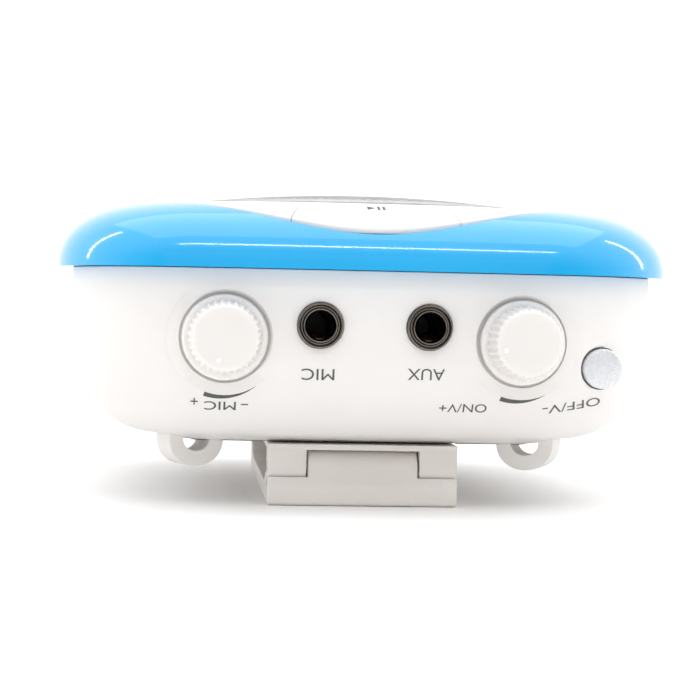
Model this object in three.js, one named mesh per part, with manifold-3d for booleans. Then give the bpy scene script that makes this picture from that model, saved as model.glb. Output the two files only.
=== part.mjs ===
// Portable voice amplifier worn on a belt: a pillow-edged loudspeaker box with two knobs, two jack
// sockets and a telescopic aerial at one end, strap lugs and a sprung belt clip on its back.
// Millimetres. +Z points out of the loudspeaker, -Y out of the knob end, +X to the aerial's side.
// The origin is on the belt clip's flat underside, on which the box lies level.
import * as THREE from 'three';
import * as BufferGeometryUtils from 'three/addons/utils/BufferGeometryUtils.js';
import Module from 'manifold-3d';

const wasm = await Module();
wasm.setup();

// ---- driving dimensions ----
const GAP = 0.3;             // between neighbouring solids
const FIT = 0.1;             // running fits and shafts in their bores
const SEGMENTS = 24;         // round parts
const COARSE = 12;           // small round parts
const FINE = 40;             // the ring and grille

const HALF_WIDTH = 43.2;     // front cover, at the parting line
const HALF_LENGTH = 52.1;
const CORNER_RADIUS = 20.5;
const END_BOW_RADIUS = 300;  // the ends and sides bow out slightly
const SIDE_BOW_RADIUS = 620;
const PARTING_Z = 32;        // front cover above, rear case below
const WALL = 2;

const COVER_EDGE_WIDTH = 13; // rounded rim of the front cover, and its gentle crown
const COVER_EDGE_HEIGHT = 8.3;
const COVER_EDGE_POWER = 2.3;
const COVER_CROWN = 2.4;
const COVER_SEAT = 4.4;      // width of the cover's lower rim, which sits on the case

const CASE_INSET = 2.1;      // the case is narrower than the cover that overhangs it
const CASE_DRAFT = 0.5;
const CASE_ROUND_Z = 21.1;   // where the side wall starts to turn under
const CASE_ROUND_WIDTH = 11;
const CASE_ROUND_HEIGHT = 11.5;
const CASE_BACK_Z = 8.5;
const CASE_CROWN_WIDTH = 7.5;
const INNER_SECTION_INSET = 19.4;
const END_Y = CASE_INSET - HALF_LENGTH; // outside face of the knob end

const RING_OUTER_RADIUS = 37.5;
const RING_INNER_RADIUS = 26.8;
const RING_LIP_RADIUS = 23.5;
const RING_Y = 2.2 - HALF_LENGTH + RING_OUTER_RADIUS;
const RING_SEAT_Z = 34.6;
const RING_FLANGE = 1.6;
const KEY_HALF_ANGLE = THREE.MathUtils.degToRad(17.5);
const KEY_TRAVEL = 0.6;
const KEY_COUNT = 4;
const KEY_RADIUS = 31.2;     // where each key's stem and switch stand
const LEDGE_RADIUS = 34.6;   // hole through the cover under the ring

const GRILLE_RADIUS = 26.5;
const GRILLE_RIM_Z = 41.9;
const GRILLE_TOP_Z = 43.7;
const GRILLE_SHEET = 0.7;

const KNOB_X = 19.6;
const KNOB_Z = 23.1;
const RECESS_RADIUS = 5.97;
const RECESS_FLOOR_Y = END_Y + 1.7;
const KNOB_SKIRT_RADIUS = 5.6;
const KNOB_SKIRT_THICK = 1.3;
const KNOB_HEIGHT = 4.8;     // ribbed part, above the skirt
const KNOB_RIBS = 32;
const KNOB_BASE_RADIUS = 4.95;
const KNOB_TOP_RADIUS = 4.4;
const KNOB_RIB_DEPTH = 0.28;
const SHAFT_RADIUS = 3;
const POT_BODY = [9.6, 6.4, 12.4];
const POT_FRONT_Y = END_Y + 5.6;

const JACK_X = 7.2;
const JACK_Z = 24.85;
const JACK_RADIUS = 3;
const JACK_BORE_RADIUS = 1.8;
const JACK_BODY = [9.4, 12.5, 7.6];

const AERIAL_X = 31;
const AERIAL_Z = 19.8;
const AERIAL_CAP_RADIUS = 2.7;
const AERIAL_CAP_FACE_Y = END_Y + 3.1;
const AERIAL_CAP_LENGTH = 2.2;
const AERIAL_START_Y = AERIAL_CAP_FACE_Y + AERIAL_CAP_LENGTH + GAP;
const AERIAL_LENGTH = 74;
const AERIAL_SLEEVE_RADIUS = 2.5;
const AERIAL_STEP = 0.45;    // radius lost from one section to the next
const AERIAL_WALL = 0.3;
const AERIAL_TUBES = 3;

const CLIP_HALF_WIDTH = 13.1;
const KNUCKLE_HALF_WIDTH = 7.7;
const CLIP_NEAR_Y = END_Y + 13;
const CLIP_AXIS_Y = CLIP_NEAR_Y + 2.6;
const CLIP_AXIS_Z = 5.2;
const EAR_RADIUS = 2.6;
const BRACKET_UNDER_Z = 7.66;
const BRACKET_LENGTH = 18;
const LEVER_LENGTH = 62;
const LEVER_THICK = 2.3;
const LEVER_HINGE_THICK = 4;
const PIN_RADIUS = 0.8;
const SPRING_WIRE_RADIUS = 0.3;
const SPRING_COIL_RADIUS = 1.35;
const SPRING_TURNS = 4;

const LUG_X = 23.8;
const LUG_Y = END_Y + 18;
const LUG_BOTTOM_Z = 5;
const LUG_HALF_WIDTH = 4.1;
const LUG_WALL = 2.1;
const LUG_DEPTH = 4.5;
const LUG_TURN = THREE.MathUtils.degToRad(25);

const BOARD_TOP_Z = 17.2;
const BOARD_THICK = 1.6;
const KEY_BOARD_TOP_Z = 31.2;
const BATTERY_RADIUS = 9.2;
const BATTERY_LENGTH = 50;
const BATTERY_Y = 27;
const BATTERY_Z = 20.6;
const DISPLAY_Y = 34;
const DISPLAY_SIZE = [30, 9];
const STATUS_LIGHT_X = 21;
const SOCKET_Z = 23.3;

const NEAR_SCREW = [36.6, -14];
const FAR_SCREW = [29, 42.3];
const SCREW_SEAT_Z = 15.5;   // where the case screws' heads bear
const SCREW_RADIUS = 1.2;
const SCREW_HEAD_RADIUS = 1.9;
const BOSS_RADIUS = 2.1;
const BOSS_LOW_Z = 21.5;      // the cover's screw bosses stand on the case's posts
const BOARD_SCREW = [23, -33];
const BRACKET_SCREW_X = 8;

// ---- solids ----
function solid(geometry) {
  geometry.deleteAttribute('normal');
  geometry.deleteAttribute('uv');
  const merged = BufferGeometryUtils.mergeVertices(geometry, 1e-5);
  const vertProperties = new Float32Array(merged.attributes.position.array);
  const triVerts = new Uint32Array(merged.index.array);
  return new wasm.Manifold(new wasm.Mesh({ numProp: 3, vertProperties, triVerts }));
}

function geometryOf(manifold) {
  const mesh = manifold.getMesh();
  const geometry = new THREE.BufferGeometry();
  geometry.setAttribute('position', new THREE.BufferAttribute(mesh.vertProperties, 3));
  geometry.setIndex(new THREE.BufferAttribute(mesh.triVerts, 1));
  geometry.computeVertexNormals();
  return geometry;
}

function cut(body, ...tools) {
  return tools.reduce((left, tool) => left.subtract(tool), body);
}

function join(body, ...others) {
  return others.reduce((sum, other) => sum.add(other), body);
}

// Box from low corner [x, y, z] to high corner [x, y, z].
function boxBetween(low, high) {
  const size = high.map((value, axis) => value - low[axis]);
  const geometry = new THREE.BoxGeometry(...size);
  geometry.translate(low[0] + size[0] / 2, low[1] + size[1] / 2, low[2] + size[2] / 2);
  return solid(geometry);
}

function uprightCylinder(radius, x, y, lowZ, highZ, segments = SEGMENTS) {
  const geometry = new THREE.CylinderGeometry(radius, radius, highZ - lowZ, segments);
  geometry.rotateX(Math.PI / 2);
  geometry.translate(x, y, (lowZ + highZ) / 2);
  return solid(geometry);
}

function lengthwiseCylinder(radius, x, z, lowY, highY, segments = SEGMENTS) {
  const geometry = new THREE.CylinderGeometry(radius, radius, highY - lowY, segments);
  geometry.translate(x, (lowY + highY) / 2, z);
  return solid(geometry);
}

function crosswiseCylinder(radius, y, z, lowX, highX, segments = SEGMENTS) {
  const geometry = new THREE.CylinderGeometry(radius, radius, highX - lowX, segments);
  geometry.rotateZ(Math.PI / 2);
  geometry.translate((lowX + highX) / 2, y, z);
  return solid(geometry);
}

// Turned body about the Y axis, whichever way round its [radius, height] profile is listed.
function turnedGeometry(profile, segments) {
  const points = profile.map((pair) => new THREE.Vector2(...pair));
  if (THREE.ShapeUtils.area(points) < 0) points.reverse();
  return new THREE.LatheGeometry(points, segments);
}

// Solid of revolution about the upright line through x, y; the profile is [radius, z] pairs.
function turnedUpright(profile, x, y, segments = SEGMENTS) {
  const geometry = turnedGeometry(profile, segments);
  geometry.rotateX(Math.PI / 2);
  geometry.translate(x, y, 0);
  return solid(geometry);
}

// Solid of revolution about the line along Y through x, z; the profile is [radius, y] pairs.
function turnedLengthwise(profile, x, z, segments = SEGMENTS) {
  const geometry = turnedGeometry(profile, segments);
  geometry.translate(x, 0, z);
  return solid(geometry);
}

// Closed skin over a stack of rings that have the same number of points, each ring a convex loop.
function skinned(rings) {
  const count = rings[0].length;
  const positions = rings.flat().flatMap((point) => point.toArray());
  const ends = [rings[0], rings[rings.length - 1]];
  for (const ring of ends) {
    const middle = ring.reduce((sum, point) => sum.add(point), new THREE.Vector3());
    positions.push(...middle.divideScalar(count).toArray());
  }
  const indices = [];
  const lowMiddle = rings.length * count;
  const lastRing = (rings.length - 1) * count;
  for (let i = 0; i < count; i += 1) {
    const next = (i + 1) % count;
    indices.push(lowMiddle, next, i);
    indices.push(lowMiddle + 1, lastRing + i, lastRing + next);
    for (let row = 0; row < lastRing; row += count) {
      indices.push(row + i, row + next, row + count + next);
      indices.push(row + i, row + count + next, row + count + i);
    }
  }
  const geometry = new THREE.BufferGeometry();
  geometry.setAttribute('position', new THREE.Float32BufferAttribute(positions, 3));
  geometry.setIndex(indices);
  const made = solid(geometry);
  if (made.volume() > 0) return made;
  geometry.setIndex(indices.reverse());
  return solid(geometry);
}

// ---- plan outline: bowed ends and sides joined by tangent corner arcs ----
function cornerCentre() {
  const end = new THREE.Vector2(0, END_BOW_RADIUS - HALF_LENGTH);
  const side = new THREE.Vector2(HALF_WIDTH - SIDE_BOW_RADIUS, 0);
  const endReach = END_BOW_RADIUS - CORNER_RADIUS;
  const sideReach = SIDE_BOW_RADIUS - CORNER_RADIUS;
  const between = side.clone().sub(end);
  const distance = between.length();
  const along = (endReach ** 2 - sideReach ** 2 + distance ** 2) / (2 * distance);
  const across = Math.sqrt(endReach ** 2 - along ** 2);
  const direction = between.normalize();
  const foot = end.clone().addScaledVector(direction, along);
  return foot.add(new THREE.Vector2(-direction.y, direction.x).multiplyScalar(across));
}

// Point on the quarter from the middle of the knob end to the middle of the +X side. The angle is
// that of the outward normal, from -Y to +X.
function quarterPoint(angle, inset) {
  const corner = cornerCentre();
  const endLimit = Math.asin(corner.x / (END_BOW_RADIUS - CORNER_RADIUS));
  const sideLimit = Math.PI / 2 - Math.asin(-corner.y / (SIDE_BOW_RADIUS - CORNER_RADIUS));
  const outward = new THREE.Vector2(Math.sin(angle), -Math.cos(angle));
  if (angle <= endLimit) {
    const end = new THREE.Vector2(0, END_BOW_RADIUS - HALF_LENGTH);
    return end.addScaledVector(outward, END_BOW_RADIUS - inset);
  }
  if (angle >= sideLimit) {
    const sideways = new THREE.Vector2(HALF_WIDTH - SIDE_BOW_RADIUS, 0);
    return sideways.addScaledVector(outward, SIDE_BOW_RADIUS - inset);
  }
  return corner.addScaledVector(outward, CORNER_RADIUS - inset);
}

const END_NORMALS = [0, 2.2];
const SIDE_NORMALS = [88.3, 90];
const CORNER_STEPS = 7;

function quarterAngles() {
  const first = 4.4;
  const last = 86.8;
  const corner = [];
  for (let step = 0; step <= CORNER_STEPS; step += 1) {
    corner.push(first + (last - first) * (step / CORNER_STEPS));
  }
  return [...END_NORMALS, ...corner, ...SIDE_NORMALS].map(THREE.MathUtils.degToRad);
}

// Whole outline, inset evenly, as a ring whose height is a number or a function of x and y; scale
// shrinks it about the middle.
function outlineRing(inset, height, scale = 1) {
  const heightAt = typeof height === 'function' ? height : () => height;
  const quarter = quarterAngles().map((angle) => quarterPoint(angle, inset).multiplyScalar(scale));
  const raised = (x, y) => new THREE.Vector3(x, y, heightAt(x, y));
  const mirrored = (signX, signY) => quarter.map((point) => raised(signX * point.x, signY * point.y));
  return [
    ...mirrored(1, 1),
    ...mirrored(1, -1).reverse().slice(1),
    ...mirrored(-1, -1).slice(1),
    ...mirrored(-1, 1).reverse().slice(1, -1),
  ];
}

// ---- shell profiles ----
function coverEdge(inset) {
  const run = Math.min(inset / COVER_EDGE_WIDTH, 1);
  return COVER_EDGE_HEIGHT * (1 - (1 - run) ** COVER_EDGE_POWER) ** (1 / COVER_EDGE_POWER);
}

function coverCrown(x, y) {
  return COVER_CROWN * (1 - (x / HALF_WIDTH) ** 2) * (1 - (y / HALF_LENGTH) ** 2);
}

// Height of the cover's surface where it is clear of the rounded rim.
function coverFaceZ(x, y) {
  return PARTING_Z + GAP / 2 + COVER_EDGE_HEIGHT + coverCrown(x, y);
}

const COVER_STEPS = [0, 0.12, 0.5, 1.3, 2.6, 4.6, 8, 13];
const CASE_STEPS = [0, 0.3, 1.2, 3, 6, 9.5, 14];

// Solid under the cover's surface, lowered by drop and kept inside the outline at firstInset.
function pillow(firstInset, drop, lowZ) {
  const baseZ = PARTING_Z + GAP / 2 - drop;
  const surfaceZ = (inset) => (x, y) => baseZ + coverEdge(inset) + coverCrown(x, y);
  const steps = COVER_STEPS.filter((_, index) => firstInset === 0 || index % 2 === 0);
  const insets = [...steps.map((step) => step + firstInset), INNER_SECTION_INSET];
  const kept = insets.filter((inset) => inset <= INNER_SECTION_INSET);
  const rings = kept.map((inset) => outlineRing(inset, surfaceZ(inset)));
  const inner = [0.7, 0.35].map((scale) => outlineRing(INNER_SECTION_INSET, surfaceZ(COVER_EDGE_WIDTH), scale));
  return skinned([outlineRing(firstInset, lowZ), ...rings, ...inner]);
}

function caseSurfaceZ(inset) {
  const run = Math.min((inset - CASE_DRAFT) / CASE_ROUND_WIDTH, 1);
  const turn = CASE_ROUND_HEIGHT * Math.sqrt(1 - (1 - run) ** 2);
  const past = Math.max(inset - CASE_DRAFT - CASE_ROUND_WIDTH, 0) / CASE_CROWN_WIDTH;
  const crown = (CASE_ROUND_Z - CASE_ROUND_HEIGHT - CASE_BACK_Z) * (1 - (1 - Math.min(past, 1)) ** 2);
  return CASE_ROUND_Z - turn - crown;
}

// Solid inside the case's surface, shrunk by a wall and open up to a height.
function caseForm(wall, topZ) {
  const steps = CASE_STEPS.filter((_, index) => wall <= 0 || index % 2 === 0);
  const rings = steps.map((step) => {
    const inset = step + CASE_DRAFT;
    return outlineRing(CASE_INSET + wall + inset, caseSurfaceZ(inset) + wall);
  });
  const back = outlineRing(INNER_SECTION_INSET, CASE_BACK_Z + wall, 0.5);
  const top = outlineRing(CASE_INSET + wall, topZ);
  return skinned([back, ...rings.reverse().filter((ring) => ring[0].y < END_Y + 17.4), top]);
}

function caseScrewPlaces() {
  return [NEAR_SCREW, FAR_SCREW].flatMap(([x, y]) => [[x, y], [-x, y]]);
}

// ---- rear case and front cover ----
function rearCase() {
  const rimZ = PARTING_Z - GAP / 2;
  let shell = cut(caseForm(0, rimZ), caseForm(WALL, rimZ + WALL));
  const outer = caseForm(0, rimZ);
  for (const side of [-1, 1]) {
    const pad = lengthwiseCylinder(RECESS_RADIUS + 1.6, side * KNOB_X, KNOB_Z, END_Y + 1, RECESS_FLOOR_Y + 1.6);
    shell = join(shell, pad.intersect(outer));
  }
  for (const [x, y] of caseScrewPlaces()) {
    const post = uprightCylinder(SCREW_HEAD_RADIUS + 1, x, y, CASE_BACK_Z, BOSS_LOW_Z - GAP, COARSE);
    shell = join(shell, post.intersect(outer));
  }
  for (const side of [-1, 1]) {
    const [x, y] = [side * BOARD_SCREW[0], BOARD_SCREW[1]];
    const post = uprightCylinder(2.2, x, y, CASE_BACK_Z + 1, BOARD_TOP_Z - BOARD_THICK - FIT, COARSE);
    shell = cut(join(shell, post), uprightCylinder(SCREW_RADIUS, x, y, CASE_BACK_Z + WALL, BOARD_TOP_Z, COARSE));
  }
  for (const side of [-1, 1]) {
    const recess = lengthwiseCylinder(RECESS_RADIUS, side * KNOB_X, KNOB_Z, END_Y - 3, RECESS_FLOOR_Y);
    const shaftHole = lengthwiseCylinder(SHAFT_RADIUS + GAP, side * KNOB_X, KNOB_Z, END_Y, END_Y + 6);
    const jackHole = lengthwiseCylinder(JACK_RADIUS + FIT, side * JACK_X, JACK_Z, END_Y - 3, END_Y + 6);
    shell = cut(shell, recess, shaftHole, jackHole);
  }
  const aerialHole = lengthwiseCylinder(AERIAL_CAP_RADIUS + 0.15, AERIAL_X, AERIAL_Z, END_Y - 1, END_Y + 13);
  const socketHole = boxBetween([-4.3, HALF_LENGTH - 8, SOCKET_Z - 1.7], [4.3, HALF_LENGTH + 1, SOCKET_Z + 1.7]);
  shell = cut(shell, aerialHole, socketHole);
  for (const [x, y] of caseScrewPlaces()) {
    const well = uprightCylinder(SCREW_HEAD_RADIUS + FIT, x, y, 0, SCREW_SEAT_Z, COARSE);
    shell = cut(shell, well, uprightCylinder(SCREW_RADIUS + FIT, x, y, 0, BOSS_LOW_Z, COARSE));
  }
  for (const side of [-1, 1]) {
    const y = CLIP_NEAR_Y + BRACKET_LENGTH - 3.5;
    shell = cut(shell, uprightCylinder(SCREW_RADIUS + FIT, side * BRACKET_SCREW_X, y, 0, CASE_BACK_Z + 6, COARSE));
  }
  return cut(shell, bracketSeat());
}

// Shallow flat pocket in the case's back for the clip bracket's base.
function bracketSeat() {
  const half = CLIP_HALF_WIDTH + GAP;
  const endY = CLIP_NEAR_Y + BRACKET_LENGTH + GAP;
  return boxBetween([-half, CLIP_NEAR_Y - GAP, 0], [half, endY, CASE_BACK_Z + FIT]);
}

function frontCover() {
  const lowZ = PARTING_Z + GAP / 2;
  const shell = cut(pillow(0, 0, lowZ), pillow(COVER_SEAT, WALL, lowZ - WALL));
  const seat = uprightCylinder(RING_OUTER_RADIUS + GAP, 0, RING_Y, RING_SEAT_Z - FIT, 60, FINE);
  const throughHole = uprightCylinder(LEDGE_RADIUS, 0, RING_Y, 0, 60, FINE);
  const ledgeTop = RING_SEAT_Z - FIT;
  const ledge = uprightCylinder(RING_OUTER_RADIUS + 2, 0, RING_Y, lowZ, ledgeTop, FINE);
  let cover = join(shell, ledge.intersect(pillow(0, 0, lowZ)).intersect(pillow(COVER_SEAT - 1, 0, 0)));
  for (const [x, y] of caseScrewPlaces()) {
    const boss = uprightCylinder(BOSS_RADIUS, x, y, BOSS_LOW_Z, PARTING_Z + 12, COARSE);
    cover = join(cover, boss.intersect(pillow(1, 0.5, 0)).intersect(caseForm(WALL + GAP, PARTING_Z + 12)));
  }
  cover = cut(cover, seat, throughHole);
  for (const [x, y] of caseScrewPlaces()) {
    cover = cut(cover, uprightCylinder(SCREW_RADIUS + 0.05, x, y, 0, PARTING_Z - 2, COARSE));
  }
  const [width, height] = DISPLAY_SIZE.map((size) => size / 2 + FIT);
  const window = boxBetween([-width, DISPLAY_Y - height, 36], [width, DISPLAY_Y + height, 50]);
  const light = uprightCylinder(1.1, STATUS_LIGHT_X, DISPLAY_Y, 36, 50, COARSE);
  return cut(cover, window, light);
}

// ---- control ring, its keys and the grille ----
function ringSector(lowZ, widen) {
  const shape = new THREE.Shape();
  const inner = RING_INNER_RADIUS - 1;
  const outer = RING_OUTER_RADIUS + 3;
  const half = KEY_HALF_ANGLE;
  const corners = [[inner, -half], [outer, -half], [outer * 1.1, 0], [outer, half], [inner, half]];
  corners.forEach(([radius, angle], index) => {
    const side = Math.sign(angle) * widen;
    const x = radius * Math.cos(angle) - side * Math.sin(angle);
    const y = radius * Math.sin(angle) + side * Math.cos(angle);
    if (index === 0) shape.moveTo(x, y);
    else shape.lineTo(x, y);
  });
  const geometry = new THREE.ExtrudeGeometry(shape, { depth: 60 - lowZ, bevelEnabled: false });
  geometry.translate(0, 0, lowZ);
  return geometry;
}

function keyAngle(index) {
  return (index * 2 * Math.PI) / KEY_COUNT - Math.PI / 2;
}

function placedSector(index, lowZ, widen) {
  const geometry = ringSector(lowZ, widen);
  geometry.rotateZ(keyAngle(index));
  geometry.translate(0, RING_Y, 0);
  return solid(geometry);
}

function keyPlace(index) {
  const angle = keyAngle(index);
  return [KEY_RADIUS * Math.cos(angle), RING_Y + KEY_RADIUS * Math.sin(angle)];
}

const KEY_BASE_Z = RING_SEAT_Z + RING_FLANGE + KEY_TRAVEL + 0.15;

function controlRing() {
  const flangeTop = RING_SEAT_Z + RING_FLANGE;
  const profile = [
    [RING_LIP_RADIUS, RING_SEAT_Z], [RING_OUTER_RADIUS, RING_SEAT_Z], [RING_OUTER_RADIUS, 50],
    [RING_INNER_RADIUS, 50], [RING_INNER_RADIUS, flangeTop], [RING_LIP_RADIUS, flangeTop],
    [RING_LIP_RADIUS, RING_SEAT_Z],
  ];
  const blank = turnedUpright(profile, 0, RING_Y, FINE);
  let ring = blank.intersect(pillow(0, 0, 0));
  for (let index = 0; index < KEY_COUNT; index += 1) {
    ring = cut(ring, placedSector(index, flangeTop, 0.12));
    const [x, y] = keyPlace(index);
    ring = cut(ring, uprightCylinder(1.9, x, y, 0, 50, COARSE));
  }
  return ring;
}

function ringKey(index) {
  const profile = [
    [RING_INNER_RADIUS + GAP, KEY_BASE_Z], [RING_OUTER_RADIUS - 0.05, KEY_BASE_Z],
    [RING_OUTER_RADIUS - 0.05, 50], [RING_INNER_RADIUS + GAP, 50], [RING_INNER_RADIUS + GAP, KEY_BASE_Z],
  ];
  const band = turnedUpright(profile, 0, RING_Y, FINE).intersect(pillow(0, 0, 0));
  const cap = band.intersect(placedSector(index, 0, -0.12));
  const [x, y] = keyPlace(index);
  return join(cap, uprightCylinder(1.5, x, y, RING_SEAT_Z + 0.2, KEY_BASE_Z + 0.5, COARSE));
}

function speakerGrille() {
  const rise = GRILLE_TOP_Z - GRILLE_RIM_Z;
  const ball = (GRILLE_RADIUS ** 2 + rise ** 2) / (2 * rise);
  const dome = (radius, drop) => GRILLE_TOP_Z - drop - ball + Math.sqrt(ball ** 2 - radius ** 2);
  const steps = [0, 10, 18, 23];
  const footZ = RING_SEAT_Z + RING_FLANGE + FIT;
  const inner = steps.map((radius) => [radius, dome(radius, GRILLE_SHEET)]);
  const inside = GRILLE_RADIUS - GRILLE_SHEET;
  const wall = [
    [inside, dome(inside, GRILLE_SHEET)], [inside, footZ], [GRILLE_RADIUS, footZ],
    [GRILLE_RADIUS, GRILLE_RIM_Z],
  ];
  const outer = [...steps].reverse().map((radius) => [radius, dome(radius, 0)]);
  return turnedUpright([...inner, ...wall, ...outer], 0, RING_Y, FINE);
}

// ---- loudspeaker, boards and power ----
function speakerFrame() {
  const top = RING_SEAT_Z - FIT;
  const profile = [
    [12, 24], [15, 24], [25, top - 1.4], [26.5, top - 1.4], [26.5, top], [24, top], [14, 25.4], [12, 25.4], [12, 24],
  ];
  return turnedUpright(profile, 0, RING_Y);
}

function speakerCone() {
  const profile = [
    [0, 29.8], [5, 28.6], [7, 27.2], [19, 33.6], [20.6, 34.6], [22.2, 33.6], [22.7, 33.6],
    [22.7, 34], [22.2, 34.2], [20.6, 35.2], [18.8, 34.2], [8, 28.4], [5, 31], [0, 32.2],
  ];
  return turnedUpright(profile, 0, RING_Y);
}

function speakerMagnet() {
  const profile = [
    [0, 13], [13.5, 13], [15, 14], [15, 23], [14, 23.8], [6, 23.8], [6, 26.4], [0, 26.4],
  ];
  return turnedUpright(profile, 0, RING_Y);
}

function mainBoard() {
  const lowZ = BOARD_TOP_Z - BOARD_THICK;
  let board = boxBetween([-27, END_Y + 8.2, lowZ], [27, -29.5, BOARD_TOP_Z]);
  for (const side of [-1, 1]) {
    const [x, y] = [side * BOARD_SCREW[0], BOARD_SCREW[1]];
    board = cut(board, uprightCylinder(SCREW_RADIUS + FIT, x, y, 0, 20, COARSE));
  }
  return board;
}

function keyBoard() {
  const lowZ = KEY_BOARD_TOP_Z - 1.2;
  const profile = [[27.5, lowZ], [34, lowZ], [34, KEY_BOARD_TOP_Z], [27.5, KEY_BOARD_TOP_Z], [27.5, lowZ]];
  return turnedUpright(profile, 0, RING_Y, 36);
}

function keySwitch(index) {
  const [x, y] = keyPlace(index);
  const low = KEY_BOARD_TOP_Z + 0.05;
  const body = boxBetween([x - 2.6, y - 2.6, low], [x + 2.6, y + 2.6, low + 2.2]);
  return join(body, uprightCylinder(1.4, x, y, low + 2, RING_SEAT_Z - KEY_TRAVEL, COARSE));
}

function batteryCell() {
  return crosswiseCylinder(BATTERY_RADIUS, BATTERY_Y, BATTERY_Z, -BATTERY_LENGTH / 2, BATTERY_LENGTH / 2);
}

function powerBoard() {
  return boxBetween([-16, 37.6, SOCKET_Z - 2.9], [16, 45.8, SOCKET_Z - 1.5]);
}

function chargeSocket() {
  const shell = boxBetween([-3.8, 43, SOCKET_Z - 1.4], [3.8, 49.2, SOCKET_Z + 1.4]);
  const mouth = boxBetween([-3.4, 44.5, SOCKET_Z - 1], [3.4, 50, SOCKET_Z + 1]);
  const tongue = boxBetween([-2.6, 44, SOCKET_Z - 0.2], [2.6, 48.6, SOCKET_Z + 0.4]);
  return join(cut(shell, mouth), tongue);
}

function displayWindow() {
  const [width, height] = DISPLAY_SIZE.map((size) => size / 2);
  const top = coverFaceZ(0, DISPLAY_Y);
  return boxBetween([-width, DISPLAY_Y - height, top - 1.5], [width, DISPLAY_Y + height, top]);
}

function displayModule() {
  return boxBetween([-16, DISPLAY_Y - 6, 33.4], [16, DISPLAY_Y + 5.6, 39]);
}

function statusLight() {
  const top = coverFaceZ(STATUS_LIGHT_X, DISPLAY_Y);
  return uprightCylinder(1, STATUS_LIGHT_X, DISPLAY_Y, 37, top + 0.2, COARSE);
}

// ---- knobs, sockets ----
// Ring of points about the Y axis with alternate points pulled in to make ribs.
function ribbedRing(radius, ribDepth, y) {
  const points = [];
  const perRib = 2;
  for (let i = 0; i < KNOB_RIBS * perRib; i += 1) {
    const angle = (i / (KNOB_RIBS * perRib)) * 2 * Math.PI;
    const reach = radius - (i % perRib === 0 ? ribDepth : 0);
    points.push(new THREE.Vector3(reach * Math.cos(angle), y, reach * Math.sin(angle)));
  }
  return points;
}

function knob(x) {
  const backY = RECESS_FLOOR_Y - GAP;
  const skirtY = backY - KNOB_SKIRT_THICK;
  const topY = skirtY - KNOB_HEIGHT;
  const skirt = turnedLengthwise([
    [0, skirtY - 0.1], [KNOB_SKIRT_RADIUS - 0.6, skirtY - 0.1], [KNOB_SKIRT_RADIUS, skirtY + 0.3],
    [KNOB_SKIRT_RADIUS, backY], [0, backY],
  ], 0, 0);
  const ribbed = skinned([
    ribbedRing(KNOB_BASE_RADIUS, KNOB_RIB_DEPTH, skirtY + 0.2),
    ribbedRing(KNOB_TOP_RADIUS + 0.1, KNOB_RIB_DEPTH, topY + 0.7),
    ribbedRing(KNOB_TOP_RADIUS - 0.25, 0.05, topY + 0.22),
    ribbedRing(KNOB_TOP_RADIUS - 0.75, 0, topY),
    ribbedRing(KNOB_TOP_RADIUS / 2, 0, topY - 0.18),
  ]);
  const bore = lengthwiseCylinder(SHAFT_RADIUS + FIT, 0, 0, topY + 1.6, backY + 1, COARSE);
  return cut(join(skirt, ribbed), bore).translate([x, 0, KNOB_Z]);
}

function shaft(x) {
  const frontY = RECESS_FLOOR_Y - GAP - KNOB_SKIRT_THICK - KNOB_HEIGHT + 1.8;
  return lengthwiseCylinder(SHAFT_RADIUS, x, KNOB_Z, frontY, POT_FRONT_Y + 1.2, COARSE);
}

function potBody(x) {
  const [width, depth, height] = POT_BODY;
  const lowZ = BOARD_TOP_Z + 0.1;
  const body = boxBetween([x - width / 2, POT_FRONT_Y, lowZ], [x + width / 2, POT_FRONT_Y + depth, lowZ + height]);
  return cut(body, lengthwiseCylinder(SHAFT_RADIUS + FIT, x, KNOB_Z, END_Y, POT_FRONT_Y + 1.4, COARSE));
}

function jackFerrule(x) {
  const face = END_Y - 0.35;
  const back = END_Y + 4.7;
  const profile = [
    [JACK_BORE_RADIUS, back], [JACK_BORE_RADIUS, face + 0.5], [JACK_BORE_RADIUS + 0.25, face + 0.05],
    [2.3, face + 0.05], [2.36, face + 0.5], [2.62, face + 0.5], [2.7, face], [JACK_RADIUS, face + 0.1],
    [JACK_RADIUS, back], [JACK_BORE_RADIUS, back],
  ];
  return turnedLengthwise(profile, x, JACK_Z);
}

function jackBody(x) {
  const [width, depth, height] = JACK_BODY;
  const frontY = END_Y + 4.8;
  const body = boxBetween([x - width / 2, frontY, BOARD_TOP_Z + 0.1], [x + width / 2, frontY + depth, JACK_Z + height / 2]);
  return cut(body, lengthwiseCylinder(JACK_BORE_RADIUS, x, JACK_Z, END_Y, frontY + depth - 1, COARSE));
}

// ---- telescopic aerial ----
function aerialTube(index) {
  const outer = AERIAL_SLEEVE_RADIUS - index * AERIAL_STEP;
  const inner = outer - AERIAL_WALL;
  const start = AERIAL_START_Y;
  const end = start + AERIAL_LENGTH - index * 2;
  const profile = [[inner, start], [inner, end], [outer, end], [outer, start], [inner, start]];
  return turnedLengthwise(profile, AERIAL_X, AERIAL_Z, COARSE);
}

function aerialRod() {
  const radius = AERIAL_SLEEVE_RADIUS - (AERIAL_TUBES + 1) * AERIAL_STEP;
  const end = AERIAL_START_Y + AERIAL_LENGTH - 2 * (AERIAL_TUBES + 1);
  return lengthwiseCylinder(radius, AERIAL_X, AERIAL_Z, AERIAL_START_Y - 2 * GAP, end, COARSE);
}

function aerialCap() {
  const face = AERIAL_CAP_FACE_Y;
  const profile = [
    [0, face], [AERIAL_CAP_RADIUS - 0.25, face + 0.05], [AERIAL_CAP_RADIUS, face + 0.3],
    [AERIAL_CAP_RADIUS, face + AERIAL_CAP_LENGTH], [0, face + AERIAL_CAP_LENGTH],
  ];
  return turnedLengthwise(profile, AERIAL_X, AERIAL_Z);
}

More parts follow.
